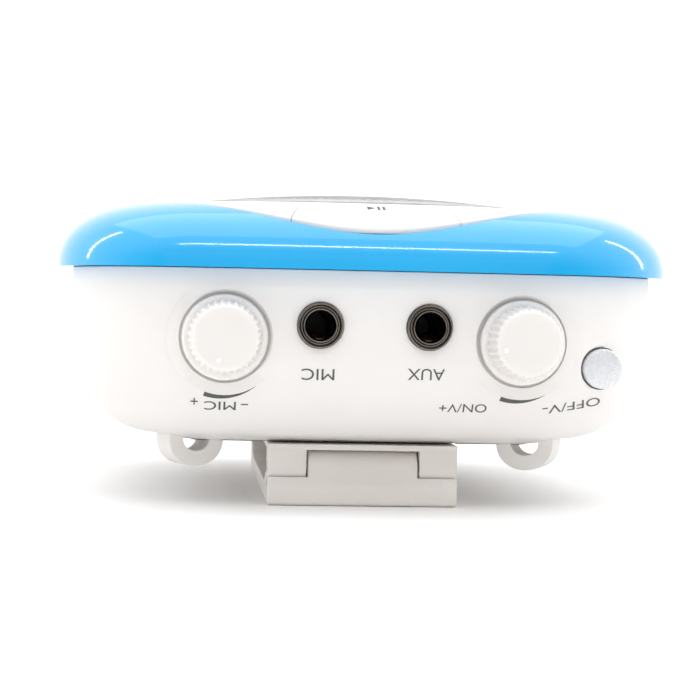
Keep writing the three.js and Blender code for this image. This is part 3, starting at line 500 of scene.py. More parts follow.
class Effects:
    """Node groups that the finishes share."""

    def __init__(self) -> None:
        """Builds every group once."""
        self.grain = self._grain()
        self.tone = self._tone()
        self.smudge = self._smudge()
        self.wear = self._wear()
        self.turning = self._turning()

    @staticmethod
    def _grain() -> NodeTree:
        """Fine spark-eroded grain of a mould, with slow waviness below it."""
        rows = [("Scale", "Float"), ("Waviness", "Float")]
        tree, graph, given, out = new_group("moulded_grain", rows, [("Height", "Float")])
        scale = given.outputs["Scale"]
        place = graph.add("NodeTexCoord").outputs["Object"]
        cells = graph.add("NodeTexVoronoi", {"feature": "SMOOTH_F1"}, Vector=place, Scale=scale)
        both = graph.maths("MULTIPLY_ADD", cells.outputs["Distance"], 0.5, graph.noise(scale, 3.0))
        wave = graph.maths("MULTIPLY", graph.noise(70.0, 2.0), given.outputs["Waviness"])
        graph.feed(out, Height=graph.maths("ADD", both, wave))
        return tree

    @staticmethod
    def _tone() -> NodeTree:
        """Slow drift between a colour and a second one, with rare fine specks."""
        rows = [("Colour", "Color"), ("Drift", "Color"), ("Speck", "Color"), ("Scale", "Float"),
                ("Specks", "Float")]
        tree, graph, given, out = new_group("tone_drift", rows, [("Colour", "Color")])
        share = graph.ramp(graph.noise(given.outputs["Scale"], 4.0, Roughness=0.6), 0.3, 0.7)
        drifted = graph.mix(share, given.outputs["Colour"], given.outputs["Drift"])
        fine = graph.ramp(graph.noise(2600.0, 1.0), 0.74, 0.8)
        mask = graph.maths("MULTIPLY", fine, given.outputs["Specks"])
        graph.feed(out, Colour=graph.mix(mask, drifted, given.outputs["Speck"]))
        return tree

    @staticmethod
    def _smudge() -> NodeTree:
        """Roughness that varies with handling: soft smears and faint hairline scuffs."""
        rows = [("Low", "Float"), ("High", "Float"), ("Scale", "Float")]
        tree, graph, given, out = new_group("handling_smudge", rows, [("Roughness", "Float")])
        place = graph.add("NodeTexCoord").outputs["Object"]
        stretch = graph.add("NodeMapping", Vector=place, Rotation=(0.3, 0.2, 0.7), Scale=(1.0, 9.0, 3.0))
        lines = graph.ramp(graph.noise(520.0, 2.0, stretch.outputs[0]), 0.62, 0.72, 0.0, 0.35)
        smear = graph.ramp(graph.noise(given.outputs["Scale"], 5.0, Distortion=0.6), 0.35, 0.7)
        span = graph.maths("SUBTRACT", given.outputs["High"], given.outputs["Low"])
        level = graph.maths("MULTIPLY_ADD", graph.maths("ADD", smear, lines), span, given.outputs["Low"])
        graph.feed(out, Roughness=level)
        return tree

    @staticmethod
    def _wear() -> NodeTree:
        """Mask of convex edges, broken up by noise."""
        tree, graph, given, out = new_group("edge_wear", [("Amount", "Float")], [("Mask", "Float")])
        edge = graph.ramp(graph.add("NodeNewGeometry").outputs["Pointiness"], 0.52, 0.62)
        patchy = graph.maths("MULTIPLY", edge, graph.ramp(graph.noise(900.0, 4.0), 0.4, 0.6, 0.2))
        graph.feed(out, Mask=graph.maths("MULTIPLY", patchy, given.outputs["Amount"]))
        return tree

    @staticmethod
    def _turning() -> NodeTree:
        """Lathe marks: rings about a lengthwise axis, with sweeping tool chatter across them. The Shade
        output is painted shade: sweeping streaks that stand in for the light's sparkle across a turned face.
        """
        rows = [("Axis", "Vector"), ("Pitch", "Float"), ("Chatter", "Float")]
        tree, graph, given, out = new_group("lathe_marks", rows, [("Height", "Float"), ("Shade", "Float")])
        place = graph.add("NodeTexCoord").outputs["Object"]
        local = graph.add("NodeVectorMath", {"operation": "SUBTRACT"}, i0=place, i1=given.outputs["Axis"])
        x, y, z = graph.add("NodeSeparateXYZ", Vector=local.outputs[0]).outputs
        squares = [graph.maths("POWER", part, 2.0) for part in (x, z)]
        radius = graph.maths("SQRT", graph.maths("ADD", *squares))
        rings = graph.maths("SINE", graph.maths("MULTIPLY", radius, given.outputs["Pitch"]))
        angle = graph.maths("MULTIPLY", graph.maths("ARCTAN2", z, x), 3.0)
        polar = graph.add("NodeCombineXYZ", X=angle, Y=graph.maths("MULTIPLY", radius, 600.0),
                          Z=graph.maths("MULTIPLY", y, 400.0))
        rays = graph.noise(3.2, 5.0, polar.outputs[0], Roughness=0.7)
        chatter = graph.maths("MULTIPLY", rays, given.outputs["Chatter"])
        height = graph.maths("ADD", graph.maths("MULTIPLY", rings, 0.5), chatter)
        # Shade is painted shade: sweeping streaks standing in for how light sparkles across the turned marks
        graph.feed(out, Height=height, Shade=graph.ramp(rays, 0.35, 0.65))
        return tree


def opaque(colour: Colour) -> tuple[float, float, float, float]:
    """The colour with full alpha."""
    return (*colour, 1.0)


def scaled(colour: Colour, factor: float) -> Colour:
    """The colour made darker or lighter."""
    return tuple(min(1.0, part * factor) for part in colour)


@dataclass(frozen=True)
class Plastic:
    """Moulded plastic: grain, slow tone drift, handling marks and paler worn edges."""

    name: str
    slot: Slot
    colour: Colour
    drift: Colour
    low_roughness: float = 0.3
    high_roughness: float = 0.42
    grain_scale: float = 2600.0
    grain_depth: float = 0.01
    waviness: float = 0.5
    coat: float = 0.0
    coat_roughness: float = 0.03
    softness: float = 0.0
    wear: float = 0.25
    specks: float = 0.2

    def material(self, effects: Effects) -> Material:
        """Builds the material.

        Args:
            effects: the shared node groups.

        Returns:
            The material.
        """
        made, graph, shader = blank_material(self.name)
        tone = graph.group(effects.tone, Colour=opaque(self.colour), Drift=opaque(self.drift),
                           Speck=opaque(scaled(self.colour, 0.8)), Scale=45.0, Specks=self.specks)
        worn = graph.group(effects.wear, Amount=self.wear)
        colour = graph.mix(worn.outputs["Mask"], tone.outputs["Colour"], opaque(scaled(self.colour, 1.12)))
        smudge = graph.group(effects.smudge, Low=self.low_roughness, High=self.high_roughness, Scale=110.0)
        grain = graph.group(effects.grain, Scale=self.grain_scale, Waviness=self.waviness)
        graph.feed(shader, Base_Color=colour, Roughness=smudge.outputs["Roughness"], Coat_Weight=self.coat,
                   Coat_Roughness=self.coat_roughness)
        graph.relief(shader, grain.outputs["Height"], self.grain_depth)
        if self.softness:
            graph.feed(shader, Subsurface_Weight=self.softness, Subsurface_Scale=1.2 * MM,
                       Subsurface_Radius=(1.0, 0.9, 0.8))
        return made


@dataclass(frozen=True)
class Metal:
    """Plated or machined metal: grain, tarnish drift, handling marks, bright worn edges and, on turned faces,
    painted shade streaks.
    """

    name: str
    slot: Slot
    colour: Colour
    drift: Colour
    low_roughness: float = 0.2
    high_roughness: float = 0.35
    grain_scale: float = 1800.0
    grain_depth: float = 0.004
    axis: Triple | None = None
    pitch: float = 40000.0
    chatter: float = 0.6
    # strength of the painted shade streaks on a turned face
    shade: float = 0.0
    metallic: float = 1.0

    def material(self, effects: Effects) -> Material:
        """Builds the material.

        Args:
            effects: the shared node groups.

        Returns:
            The material.
        """
        made, graph, shader = blank_material(self.name)
        tone = graph.group(effects.tone, Colour=opaque(self.colour), Drift=opaque(self.drift),
                           Speck=opaque(scaled(self.colour, 0.5)), Scale=260.0, Specks=0.25)
        worn = graph.group(effects.wear, Amount=0.5)
        colour = graph.mix(worn.outputs["Mask"], tone.outputs["Colour"], opaque(scaled(self.colour, 1.25)))
        smudge = graph.group(effects.smudge, Low=self.low_roughness, High=self.high_roughness, Scale=400.0)
        if self.axis:
            marks = graph.group(effects.turning, Axis=self.axis, Pitch=self.pitch, Chatter=self.chatter)
            height = marks.outputs["Height"]
            # painted shade: darker sweeping streaks on a turned face, standing in for the light's sparkle on
            # its marks
            dark = graph.maths("MULTIPLY", marks.outputs["Shade"], self.shade)
            colour = graph.mix(dark, colour, opaque(scaled(self.drift, 0.75)))
        else:
            height = graph.group(effects.grain, Scale=self.grain_scale, Waviness=0.3).outputs["Height"]
        graph.feed(shader, Base_Color=colour, Roughness=smudge.outputs["Roughness"], Metallic=self.metallic)
        graph.relief(shader, height, self.grain_depth)
        return made


@dataclass(frozen=True)
class Cloth:
    """Woven acoustic cloth or pressed paper."""

    name: str
    slot: Slot
    colour: Colour
    thread: float = 2400.0

    def material(self, effects: Effects) -> Material:
        """Builds the material.

        Args:
            effects: the shared node groups.

        Returns:
            The material.
        """
        made, graph, shader = blank_material(self.name)
        place = graph.add("NodeTexCoord").outputs["Object"]
        threads = [graph.add("NodeTexWave", {"wave_type": "BANDS", "bands_direction": way}, Vector=place,
                             Scale=self.thread, Distortion=0.6).outputs["Fac"] for way in ("X", "Y")]
        weave = graph.maths("MULTIPLY", *threads)
        tone = graph.group(effects.tone, Colour=opaque(self.colour), Drift=opaque(scaled(self.colour, 0.7)),
                           Speck=opaque(scaled(self.colour, 1.6)), Scale=120.0, Specks=0.6)
        colour = graph.mix(weave, tone.outputs["Colour"], opaque(scaled(self.colour, 1.8)))
        smudge = graph.group(effects.smudge, Low=0.8, High=0.95, Scale=200.0)
        graph.feed(shader, Base_Color=colour, Roughness=smudge.outputs["Roughness"])
        graph.relief(shader, weave, 0.05)
        return made


def blank_material(name: str) -> tuple[Material, Graph, Node]:
    """Starts a material.

    Args:
        name: its name.

    Returns:
        The material, its graph and its Principled shader.
    """
    made = bpy.data.materials.new(name)
    made.use_nodes = True
    return made, Graph(made.node_tree), made.node_tree.nodes["Principled BSDF"]


def axis_of(node: str) -> Triple:
    """Place in metres of a lengthwise axis through a node."""
    return (middle(node).x * MM, 0.0, middle(node).z * MM)


class Palette:
    """Every finish of the amplifier, built once, and the fitting of pieces with them."""

    def __init__(self, effects: Effects) -> None:
        """Builds the materials.

        Args:
            effects: the shared node groups.
        """
        self.recipes = {
            "blue": Plastic("gloss_blue_cover", Slot.BLUE, (0.001, 0.395, 0.80), (0.002, 0.415, 0.82), 0.12,
                            0.2, 2200.0, 0.0006, 0.4, coat=1.0, coat_roughness=0.02, wear=0.15, specks=0.05),
            "white": Plastic("satin_white_case", Slot.WHITE, (0.86, 0.835, 0.815), (0.84, 0.81, 0.785), 0.34,
                             0.46, 3000.0, 0.006, 0.4, wear=0.1, specks=0.25, softness=0.12),
            "ring": Plastic("satin_white_ring", Slot.WHITE, (0.88, 0.86, 0.85), (0.86, 0.835, 0.82), 0.28,
                            0.38, 3000.0, 0.004, 0.4, wear=0.1, specks=0.15, softness=0.12),
            "knob": Plastic("milky_knob", Slot.KNOB, (0.83, 0.80, 0.775), (0.815, 0.785, 0.76), 0.32, 0.44,
                            3600.0, 0.004, 0.3, wear=0.3, specks=0.1, softness=0.35),
            # the pointer dot is painted paler than the knob: a painted highlight of the light catching the
            # moulded dot
            "dot": Plastic("pointer_glint", Slot.KNOB, (0.95, 0.94, 0.92), (0.93, 0.92, 0.9), 0.25, 0.35,
                           4000.0, 0.002, 0.3),
            "clip": Plastic("ivory_clip", Slot.CLIP, (0.86, 0.82, 0.78), (0.83, 0.79, 0.745), 0.42, 0.56,
                            2200.0, 0.012, 0.5, wear=0.3, specks=0.3, softness=0.1),
            "black": Plastic("black_plastic", Slot.BLACK, (0.012, 0.012, 0.013), (0.02, 0.019, 0.018), 0.4,
                             0.55, 2600.0, 0.01),
            "lens": Plastic("smoked_lens", Slot.LENS, (0.006, 0.007, 0.009), (0.009, 0.01, 0.012), 0.06, 0.12,
                            2600.0, 0.0005, 0.2, coat=1.0, wear=0.05, specks=0.0),
            "light": Plastic("light_pipe", Slot.LIGHT, (0.62, 0.80, 0.70), (0.56, 0.76, 0.66), 0.12, 0.2,
                             2600.0, 0.002, softness=0.5),
            "ink": Plastic("legend_ink", Slot.BLACK, (0.075, 0.08, 0.078), (0.10, 0.105, 0.10), 0.5, 0.65,
                           5200.0, 0.01, 0.3, wear=0.0, specks=0.5),
            "board": Plastic("circuit_board", Slot.BOARD, (0.01, 0.13, 0.04), (0.015, 0.17, 0.055), 0.3, 0.45,
                             900.0, 0.03),
            "wrap": Plastic("cell_wrap", Slot.CELL, (0.02, 0.1, 0.37), (0.03, 0.13, 0.42), 0.22, 0.34, 600.0,
                            0.02),
            "steel": Metal("bright_steel", Slot.STEEL, (0.52, 0.52, 0.53), (0.42, 0.42, 0.43), 0.28, 0.42),
            "magnet": Metal("magnet_steel", Slot.MAGNET, (0.30, 0.30, 0.31), (0.22, 0.22, 0.23), 0.35, 0.5),
            "mesh": Metal("silver_mesh", Slot.MESH, (0.50, 0.505, 0.51), (0.42, 0.425, 0.43), 0.3, 0.42,
                          1500.0, 0.01),
            "chrome": Metal("aerial_chrome", Slot.AERIAL, (0.70, 0.70, 0.72), (0.62, 0.62, 0.64), 0.1, 0.2,
                            1600.0, 0.001),
            # the cap face carries painted shade streaks (shade=0.5) that stand in for the light's sparkle on
            # its turned marks
            "faced": Metal("faced_aluminium", Slot.AERIAL, (0.90, 0.905, 0.92), (0.78, 0.79, 0.82), 0.4, 0.55,
                           grain_depth=0.01, axis=axis_of("aerial_sleeve"), pitch=26000.0, chatter=1.6,
                           shade=0.5, metallic=0.6),
            "nickel": Metal("black_nickel", Slot.NICKEL, (0.22, 0.195, 0.175), (0.15, 0.13, 0.115), 0.14,
                            0.26, grain_depth=0.002, axis=axis_of("mic_jack_ferrule"), pitch=30000.0,
                            chatter=0.4),
            "bronze": Metal("contact_bronze", Slot.NICKEL, (0.55, 0.36, 0.29), (0.42, 0.27, 0.21), 0.25, 0.4),
            "cone": Cloth("cone_paper", Slot.CONE, (0.02, 0.02, 0.021), 1500.0),
            "cloth": Cloth("acoustic_cloth", Slot.CONE, (0.012, 0.012, 0.013), 2600.0),
        }
        self.made = {key: recipe.material(effects) for key, recipe in self.recipes.items()}

    def __getitem__(self, key: str) -> Material:
        """The material of that name."""
        return self.made[key]

    def fit(
        self, piece: Object, finish: str, nodes: Sequence[str] = (), body: Body = Body.HOUSING,
    ) -> None:
        """Shades, dresses and registers a finished piece.

        Args:
            piece: the piece, in place.
            finish: the name of its finish.
            nodes: frame nodes that it stands for.
            body: the body that it rides on.
        """
        shade(piece)
        piece.data.materials.clear()
        piece.data.materials.append(self[finish])
        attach(piece, body.value)
        if nodes:
            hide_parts(*nodes)
        LOG.info("%s rides on %s with %d faces", piece.name, body.value, len(piece.data.polygons))

    def make(self, name: str, mesh: BMesh, finish: str, *nodes: str, body: Body = Body.HOUSING) -> None:
        """Makes a piece of a mesh and fits it."""
        self.fit(object_of(name, mesh), finish, nodes, body)


# ---------------------------------------------------------------------------
# Form of the housing
# ---------------------------------------------------------------------------
@dataclass
class Form:
    """The housing's outline and its surfaces, in millimetres."""

    half_width: float = high("front_cover").x
    half_length: float = high("front_cover").y
    corner_radius: float = 20.5
    end_bow: float = 300.0
    side_bow: float = 620.0
    cover_low: float = 32.15
    edge_width: float = 13.0
    edge_height: float = 8.3
    edge_power: float = 2.3
    crown: float = 2.4
    case_inset: float = 2.1
    case_rim: float = high("rear_case").z
    case_draft: float = 0.5
    round_z: float = 21.1
    round_width: float = 11.0
    round_height: float = 11.5
    back_z: float = low("rear_case").z
    crown_width: float = 7.5
    inner_inset: float = 19.4
    ring_radius: float = 37.5

    def __post_init__(self) -> None:
        """Finds the corner's centre and where its arc meets the end and the side."""
        end = Vector((0, self.end_bow - self.half_length))
        side = Vector((self.half_width - self.side_bow, 0))
        reach, other = self.end_bow - self.corner_radius, self.side_bow - self.corner_radius
        between = side - end
        span = between.length
        along = (reach**2 - other**2 + span**2) / (2 * span)
        across = math.sqrt(reach**2 - along**2)
        ahead = between.normalized()
        self.corner = end + ahead * along + Vector((-ahead.y, ahead.x)) * across
        self.end_limit = math.asin(self.corner.x / reach)
        self.side_limit = math.pi / 2 - math.asin(-self.corner.y / other)
        self.ring_y = 2.2 - self.half_length + self.ring_radius

    def quarter(self, angle: float, inset: float) -> Vector:
        """Point of the quarter between the knob end and the +X side.

        Args:
            angle: of the outward normal, from -Y to +X.
            inset: distance inside the outline.

        Returns:
            The point.
        """
        outward = Vector((math.sin(angle), -math.cos(angle)))
        if angle <= self.end_limit:
            return Vector((0, self.end_bow - self.half_length)) + outward * (self.end_bow - inset)
        if angle >= self.side_limit:
            return Vector((self.half_width - self.side_bow, 0)) + outward * (self.side_bow - inset)
        return self.corner + outward * (self.corner_radius - inset)

    def outline(self, inset: float, z: float, scale: float = 1.0) -> list[Vector]:
        """Whole outline at a height.

        Args:
            inset: distance inside the outline.
            z: the height.
            scale: shrinks it about the middle.

        Returns:
            The points.
        """
        spans = ((0.0, self.end_limit, 13), (self.end_limit, self.side_limit, 20),
                 (self.side_limit, math.pi / 2, 16))
        angles = [a + (b - a) * i / n for a, b, n in spans for i in range(n)] + [math.pi / 2]
        first = [self.quarter(angle, inset) * scale for angle in angles]
        half = first + [Vector((p.x, -p.y)) for p in reversed(first[:-1])]
        whole = half + [Vector((-p.x, p.y)) for p in reversed(half[1:-1])]
        return [Vector((p.x, p.y, z)) for p in whole]

    def inset_at(self, x: float, y: float) -> float:
        """Distance of a point inside the outline."""
        x, y = abs(x), -abs(y)
        beyond = Vector((x, y)) - self.corner
        if beyond.length > 1e-6 and beyond.x > 0 and beyond.y < 0:
            if self.end_limit <= math.atan2(beyond.x, -beyond.y) <= self.side_limit:
                return self.corner_radius - beyond.length
        end = self.end_bow - math.hypot(x, y - (self.end_bow - self.half_length))
        side = self.side_bow - math.hypot(x - (self.half_width - self.side_bow), y)
        return min(end, side)

    def cover_z(self, x: float, y: float, drop: float = 0.0, shift: float = 0.0) -> float:
        """Height of the cover's surface.

        Args:
            x: place across.
            y: place along.
            drop: how far it is lowered.
            shift: how far inside the outline the rim starts.

        Returns:
            The height.
        """
        run = min(max((self.inset_at(x, y) - shift) / self.edge_width, 0.0), 1.0)
        edge = self.edge_height * (1 - (1 - run) ** self.edge_power) ** (1 / self.edge_power)
        crown = self.crown * (1 - (x / self.half_width) ** 2) * (1 - (y / self.half_length) ** 2)
        return self.cover_low - drop + edge + crown

    def case_z(self, inset: float) -> float:
        """Height of the case's underside at an inset from its own widest line."""
        run = min(max((inset - self.case_draft) / self.round_width, 0.0), 1.0)
        turn = self.round_height * math.sqrt(1 - (1 - run) ** 2)
        past = min(max(inset - self.case_draft - self.round_width, 0.0) / self.crown_width, 1.0)
        return self.round_z - turn - (self.round_z - self.round_height - self.back_z) * (1 - (1 - past) ** 2)

    def case_inset_at(self, z: float) -> float:
        """Inset of the case's wall at a height, from its own widest line."""
        if z >= self.round_z:
            return self.case_draft * (self.case_rim - z) / (self.case_rim - self.round_z)
        drop = (self.round_z - z) / self.round_height
        return self.case_draft + self.round_width * (1 - math.sqrt(max(0.0, 1 - drop**2)))

    def end_wall_y(self, x: float, z: float) -> float:
        """Place along Y of the knob end's outside face."""
        inset = self.case_inset + self.case_inset_at(z)
        reach = abs(x)
        limit = (self.end_bow - inset) * math.sin(self.end_limit)
        if reach <= limit:
            return self.end_bow - self.half_length - math.sqrt((self.end_bow - inset) ** 2 - reach**2)
        radius = self.corner_radius - inset
        return self.corner.y - math.sqrt(max(0.0, radius**2 - (reach - self.corner.x) ** 2))

    def ray(self, angle: float, inset: float) -> float:
        """Distance from the ring's centre at which a ray reaches an inset from the outline."""
        near, far = 0.0, 90.0
        for _ in range(34):
            reach = (near + far) / 2
            if self.inset_at(reach * math.cos(angle), self.ring_y + reach * math.sin(angle)) > inset:
                near = reach
            else:
                far = reach
        return (near + far) / 2


FORM = Form()


@dataclass
class FrontCover:
    """Gloss cover: a crowned shell with a rolled rim, a seat for the ring, a display window and a light."""

    rays: int = 360
    edge_rows: int = 15
    face_rows: int = 5
    seat_radius: float = FORM.ring_radius + 0.3
    ledge_radius: float = 34.6
    ledge_top: float = 34.5
    ledge_outer: float = 39.5
    lip: float = 0.35
    rim_width: float = 4.4
    wall: float = 2.0
    window: tuple[float, float] = (30.2, 9.2)
    window_y: float = middle("display_window").y
    light_x: float = middle("status_light").x

    def column(self, angle: float) -> list[Vector]:
        """Section of the shell along one ray, from the outline over the top and round the inside.

        Args:
            angle: of the ray about the ring's centre.

        Returns:
            The section's points.
        """
        lip_reach = self.seat_radius + self.lip
        at_lip = FORM.inset_at(lip_reach * math.cos(angle), FORM.ring_y + lip_reach * math.sin(angle))
        last = min(FORM.edge_width, 0.85 * at_lip)
        power = 2 / FORM.edge_power
        steepest = math.pi / 2
        if last < FORM.edge_width:
            steepest = math.acos((1 - last / FORM.edge_width) ** (1 / power))
        reaches = []
        for row in range(self.edge_rows + 1):
            turn = steepest * row / self.edge_rows
            reaches.append(FORM.ray(angle, FORM.edge_width * (1 - max(0.0, math.cos(turn)) ** power)))
        start, step = reaches[-1], (lip_reach - reaches[-1]) / self.face_rows
        reaches += [start + step * row for row in range(1, self.face_rows + 1)]
        points = [self.point(angle, reach, None) for reach in reaches]
        points[0].z = FORM.cover_low
        top = points[-1].z
        for step in range(1, 5):
            turn = math.pi / 2 * step / 4
            points.append(self.point(angle, lip_reach - self.lip * math.sin(turn),
                                     top - self.lip * (1 - math.cos(turn))))
        points.append(self.point(angle, self.seat_radius, self.ledge_top))
        points.append(self.point(angle, self.ledge_radius, self.ledge_top))
        points.append(self.point(angle, self.ledge_radius, FORM.cover_low))
        return points + self.cavity(angle)

    def cavity(self, angle: float) -> list[Vector]:
        """Hollow under the cover along one ray, which closes where the seat leaves no room."""
        outer = FORM.ray(angle, self.rim_width)
        room = max(0.0, outer - self.ledge_outer)
        depth = min(1.0, room / 3)
        outer = max(outer, self.ledge_outer)
        points = [self.point(angle, self.ledge_outer, FORM.cover_low)]
        for row in range(9):
            reach = self.ledge_outer + (outer - self.ledge_outer) * (row / 8)
            x, y = reach * math.cos(angle), FORM.ring_y + reach * math.sin(angle)
            roof = FORM.cover_z(x, y, self.wall, self.rim_width)
            points.append(self.point(angle, reach, FORM.cover_low + max(0.0, roof - FORM.cover_low) * depth))
        points.append(self.point(angle, outer, FORM.cover_low))
        return points

    @staticmethod
    def point(angle: float, reach: float, z: float | None) -> Vector:
        """Point on a ray, on the surface where no height is given."""
        x, y = reach * math.cos(angle), FORM.ring_y + reach * math.sin(angle)
        return Vector((x, y, FORM.cover_z(x, y) if z is None else z))

    def build(self, palette: Palette) -> None:
        """Builds and dresses the cover."""
        columns = [self.column(2 * math.pi * ray / self.rays) for ray in range(self.rays)]
        rows = [[column[row] for column in columns] for row in range(len(columns[0]))]
        mesh = loft(rows, closed=True)
        bmesh.ops.remove_doubles(mesh, verts=mesh.verts, dist=1e-4)
        bmesh.ops.dissolve_degenerate(mesh, edges=mesh.edges, dist=1e-5)
        cover = object_of("gloss_cover", face_out(mesh))
        window = rounded_block((*self.window, 14.0), (0, self.window_y, 43.0), 1.2)
        light = placed(bar(1.12, 0, 14, 40), upright(self.light_x, self.window_y, 36.0))
        boolean(cover, [window, light])
        palette.fit(cover, "blue", ["front_cover"])


def rounded_outline(
    width: float, depth: float, radius: float, z: float = 0.0, steps: int = 8
) -> list[Vector]:
    """Level rectangle with round corners, about the Z axis.

    Args:
        width: size along X.
        depth: size along Y.
        radius: of the corners.
        z: its height.
        steps: chords of each corner.

    Returns:
        The points.
    """
    points = []
    for turn, (sx, sy) in enumerate(((1, 1), (-1, 1), (-1, -1), (1, -1))):
        cx, cy = sx * (width / 2 - radius), sy * (depth / 2 - radius)
        points += [Vector((x, y, z)) for x, y in arc(cx, cy, radius, 90 * turn, 90 * turn + 90, steps)]
    return points


def rounded_block(size: Triple, centre: Triple, radius: float) -> BMesh:
    """Block with round upright corners.

    Args:
        size: along X, Y and Z.
        centre: its middle.
        radius: of the upright corners.

    Returns:
        The mesh.
    """
    width, depth, height = size
    block = prism(rounded_outline(width, depth, radius, -height / 2), Vector((0, 0, height)))
    return placed(block, Matrix.Translation(centre))


@dataclass
class RearCase:
    """Satin case: a drafted wall that rolls under to a gently crowned back, with all its openings."""

    wall: float = 2.0
    seam: float = 0.04
    knob_x: float = middle("power_knob").x
    knob_z: float = middle("power_knob").z
    recess: float = 5.97
    recess_floor: float = -END_Y - 1.7
    mouth: float = 0.25
    jack_x: float = middle("aux_jack_ferrule").x
    jack_z: float = middle("aux_jack_ferrule").z
    jack_radius: float = 3.06
    aerial_x: float = middle("aerial_sleeve").x
    aerial_z: float = middle("aerial_sleeve").z
    aerial_radius: float = 2.86
    screws: tuple[tuple[float, float], ...] = ((36.6, -14.0), (29.0, 42.3))
    screw_seat: float = 15.5
    well: float = 2.0
    post_top: float = 21.2
    clip_seat: float = 8.6
    socket_z: float = middle("charge_socket").z

    def profile(self) -> list[tuple[float, float]]:
        """Inset and height pairs of the outside, from the rim down to the back."""
        rim = FORM.cover_low - self.seam
        pairs = [(0.2, rim), (0.05, rim - 0.05), (0.0, rim - 0.2)]
        wall_rows = 7
        for row in range(1, wall_rows + 1):
            z = rim - 0.2 + (FORM.round_z - rim + 0.2) * row / wall_rows
            pairs.append((FORM.case_inset_at(z), z))
        turns = [math.pi / 2 * step / 22 for step in range(1, 23)]
        for turn in turns:
            inset = FORM.case_draft + FORM.round_width * (1 - math.cos(turn))
            pairs.append((inset, FORM.round_z - FORM.round_height * math.sin(turn)))
        start = FORM.case_draft + FORM.round_width
        pairs += [(start + FORM.crown_width * t, FORM.case_z(start + FORM.crown_width * t))
                  for t in (0.12, 0.25, 0.4, 0.55, 0.7, 0.85)]
        return pairs

    def shell(self) -> BMesh:
        """Closed shell before its openings are cut."""
        outside = [FORM.outline(FORM.case_inset + inset, z) for inset, z in self.profile()]
        last = FORM.inner_inset - 0.6
        outside += [FORM.outline(last, FORM.back_z, scale) for scale in (1.0, 0.7, 0.4, 0.15)]
        inside = [(i, z) for i, z in self.profile()[2::3] if z > FORM.back_z + 2.2]
        inner = [FORM.outline(FORM.case_inset + self.wall, FORM.cover_low - self.seam)]
        for inset, z in inside:
            lift = self.wall if z < FORM.round_z else 0
            inner.append(FORM.outline(FORM.case_inset + self.wall + inset, z + lift))
        inner += [FORM.outline(last, FORM.back_z + self.wall, scale) for scale in (0.8, 0.4)]
        mesh = bmesh.new()
        first, last_edges = skin_rows(mesh, outside)
        cap(mesh, last_edges)
        inner_first, inner_last = skin_rows(mesh, inner)
        cap(mesh, inner_last)
        bmesh.ops.bridge_loops(mesh, edges=first + inner_first)
        return face_out(mesh)

    def bore(self, radius: float, floor: float, x: float, z: float, flare: float) -> BMesh:
        """Cutter for a round opening in the knob end, with a softened mouth.

        Args:
            radius: of the opening.
            floor: distance of its floor from the middle plane.
            x: its centre across.
            z: its centre's height.
            flare: radius of the softened mouth.

        Returns:
            The cutter.
        """
        face = -FORM.end_wall_y(x, z)
        lip = arc(radius + flare, face - flare, flare, 180, 92, 5)
        profile = [(0.0, floor), (radius, floor), *lip, (radius + flare + 0.25, face + 3), (0.0, face + 3)]
        return placed(turned(profile, 120), lengthwise(x, z))

    def cutters(self) -> list[BMesh]:
        """Everything that is cut from the shell."""
        tools = []
        inside = -END_Y - 9
        for side in (-1, 1):
            knob = (side * self.knob_x, self.knob_z)
            tools.append(self.bore(self.recess, self.recess_floor, *knob, self.mouth))
            tools.append(self.bore(3.3, inside, *knob, 0.01))
            tools.append(self.bore(self.jack_radius, inside, side * self.jack_x, self.jack_z, 0.12))
        tools.append(self.bore(self.aerial_radius, inside - 6, self.aerial_x, self.aerial_z, 0.2))
        for x, y in self.places():
            well = turned([(0, -2), (self.well + 1.0, -2), (self.well + 0.35, 0), (self.well, 0.5),
                           (self.well, self.screw_seat - FORM.case_inset - 4.5),
                           (0, self.screw_seat - 6.6)], 48)
            tools.append(placed(well, upright(x, y, self.well_mouth(x, y))))
            hole = [(0, 0), (self.well, 0), (self.well, self.screw_seat), (1.3, self.screw_seat), (1.3, 30),
                    (0, 30)]
            tools.append(placed(turned(hole, 48), upright(x, y)))
        slot = rounded_outline(8.6, 3.4, 1.65)
        tools.append(prism([Vector((p.x, 44.0, self.socket_z + p.y)) for p in slot], Vector((0, 9, 0))))
        seat = high("clip_bracket") - low("clip_bracket")
        size = (seat.x + 0.5, seat.y + 0.5, self.clip_seat)
        tools.append(rounded_block(size, (0, middle("clip_bracket").y, self.clip_seat / 2), 0.6))
        return tools

    def places(self) -> list[tuple[float, float]]:
        """Centres of the four case screws."""
        return [(side * x, y) for x, y in self.screws for side in (1, -1)]

    def well_mouth(self, x: float, y: float) -> float:
        """Height of the case's surface under a screw."""
        return FORM.case_z(FORM.inset_at(x, y) - FORM.case_inset)

    def posts(self) -> list[BMesh]:
        """Posts inside the case for its screws, and pads behind the knobs."""
        made = []
        for x, y in self.places():
            made.append(placed(bar(2.9, self.well_mouth(x, y) + 0.9, self.post_top, 40), upright(x, y)))
        for side in (-1, 1):
            pad = bar(self.recess + 1.6, self.recess_floor - 1.6, -END_Y - 1.2, 64)
            made.append(placed(pad, lengthwise(side * self.knob_x, self.knob_z)))
        return made

    def build(self, palette: Palette) -> None:
        """Builds and dresses the case."""
        case = object_of("satin_case", self.shell())
        boolean(case, self.posts(), "UNION")
        boolean(case, self.cutters())
        palette.fit(case, "white", ["rear_case"])


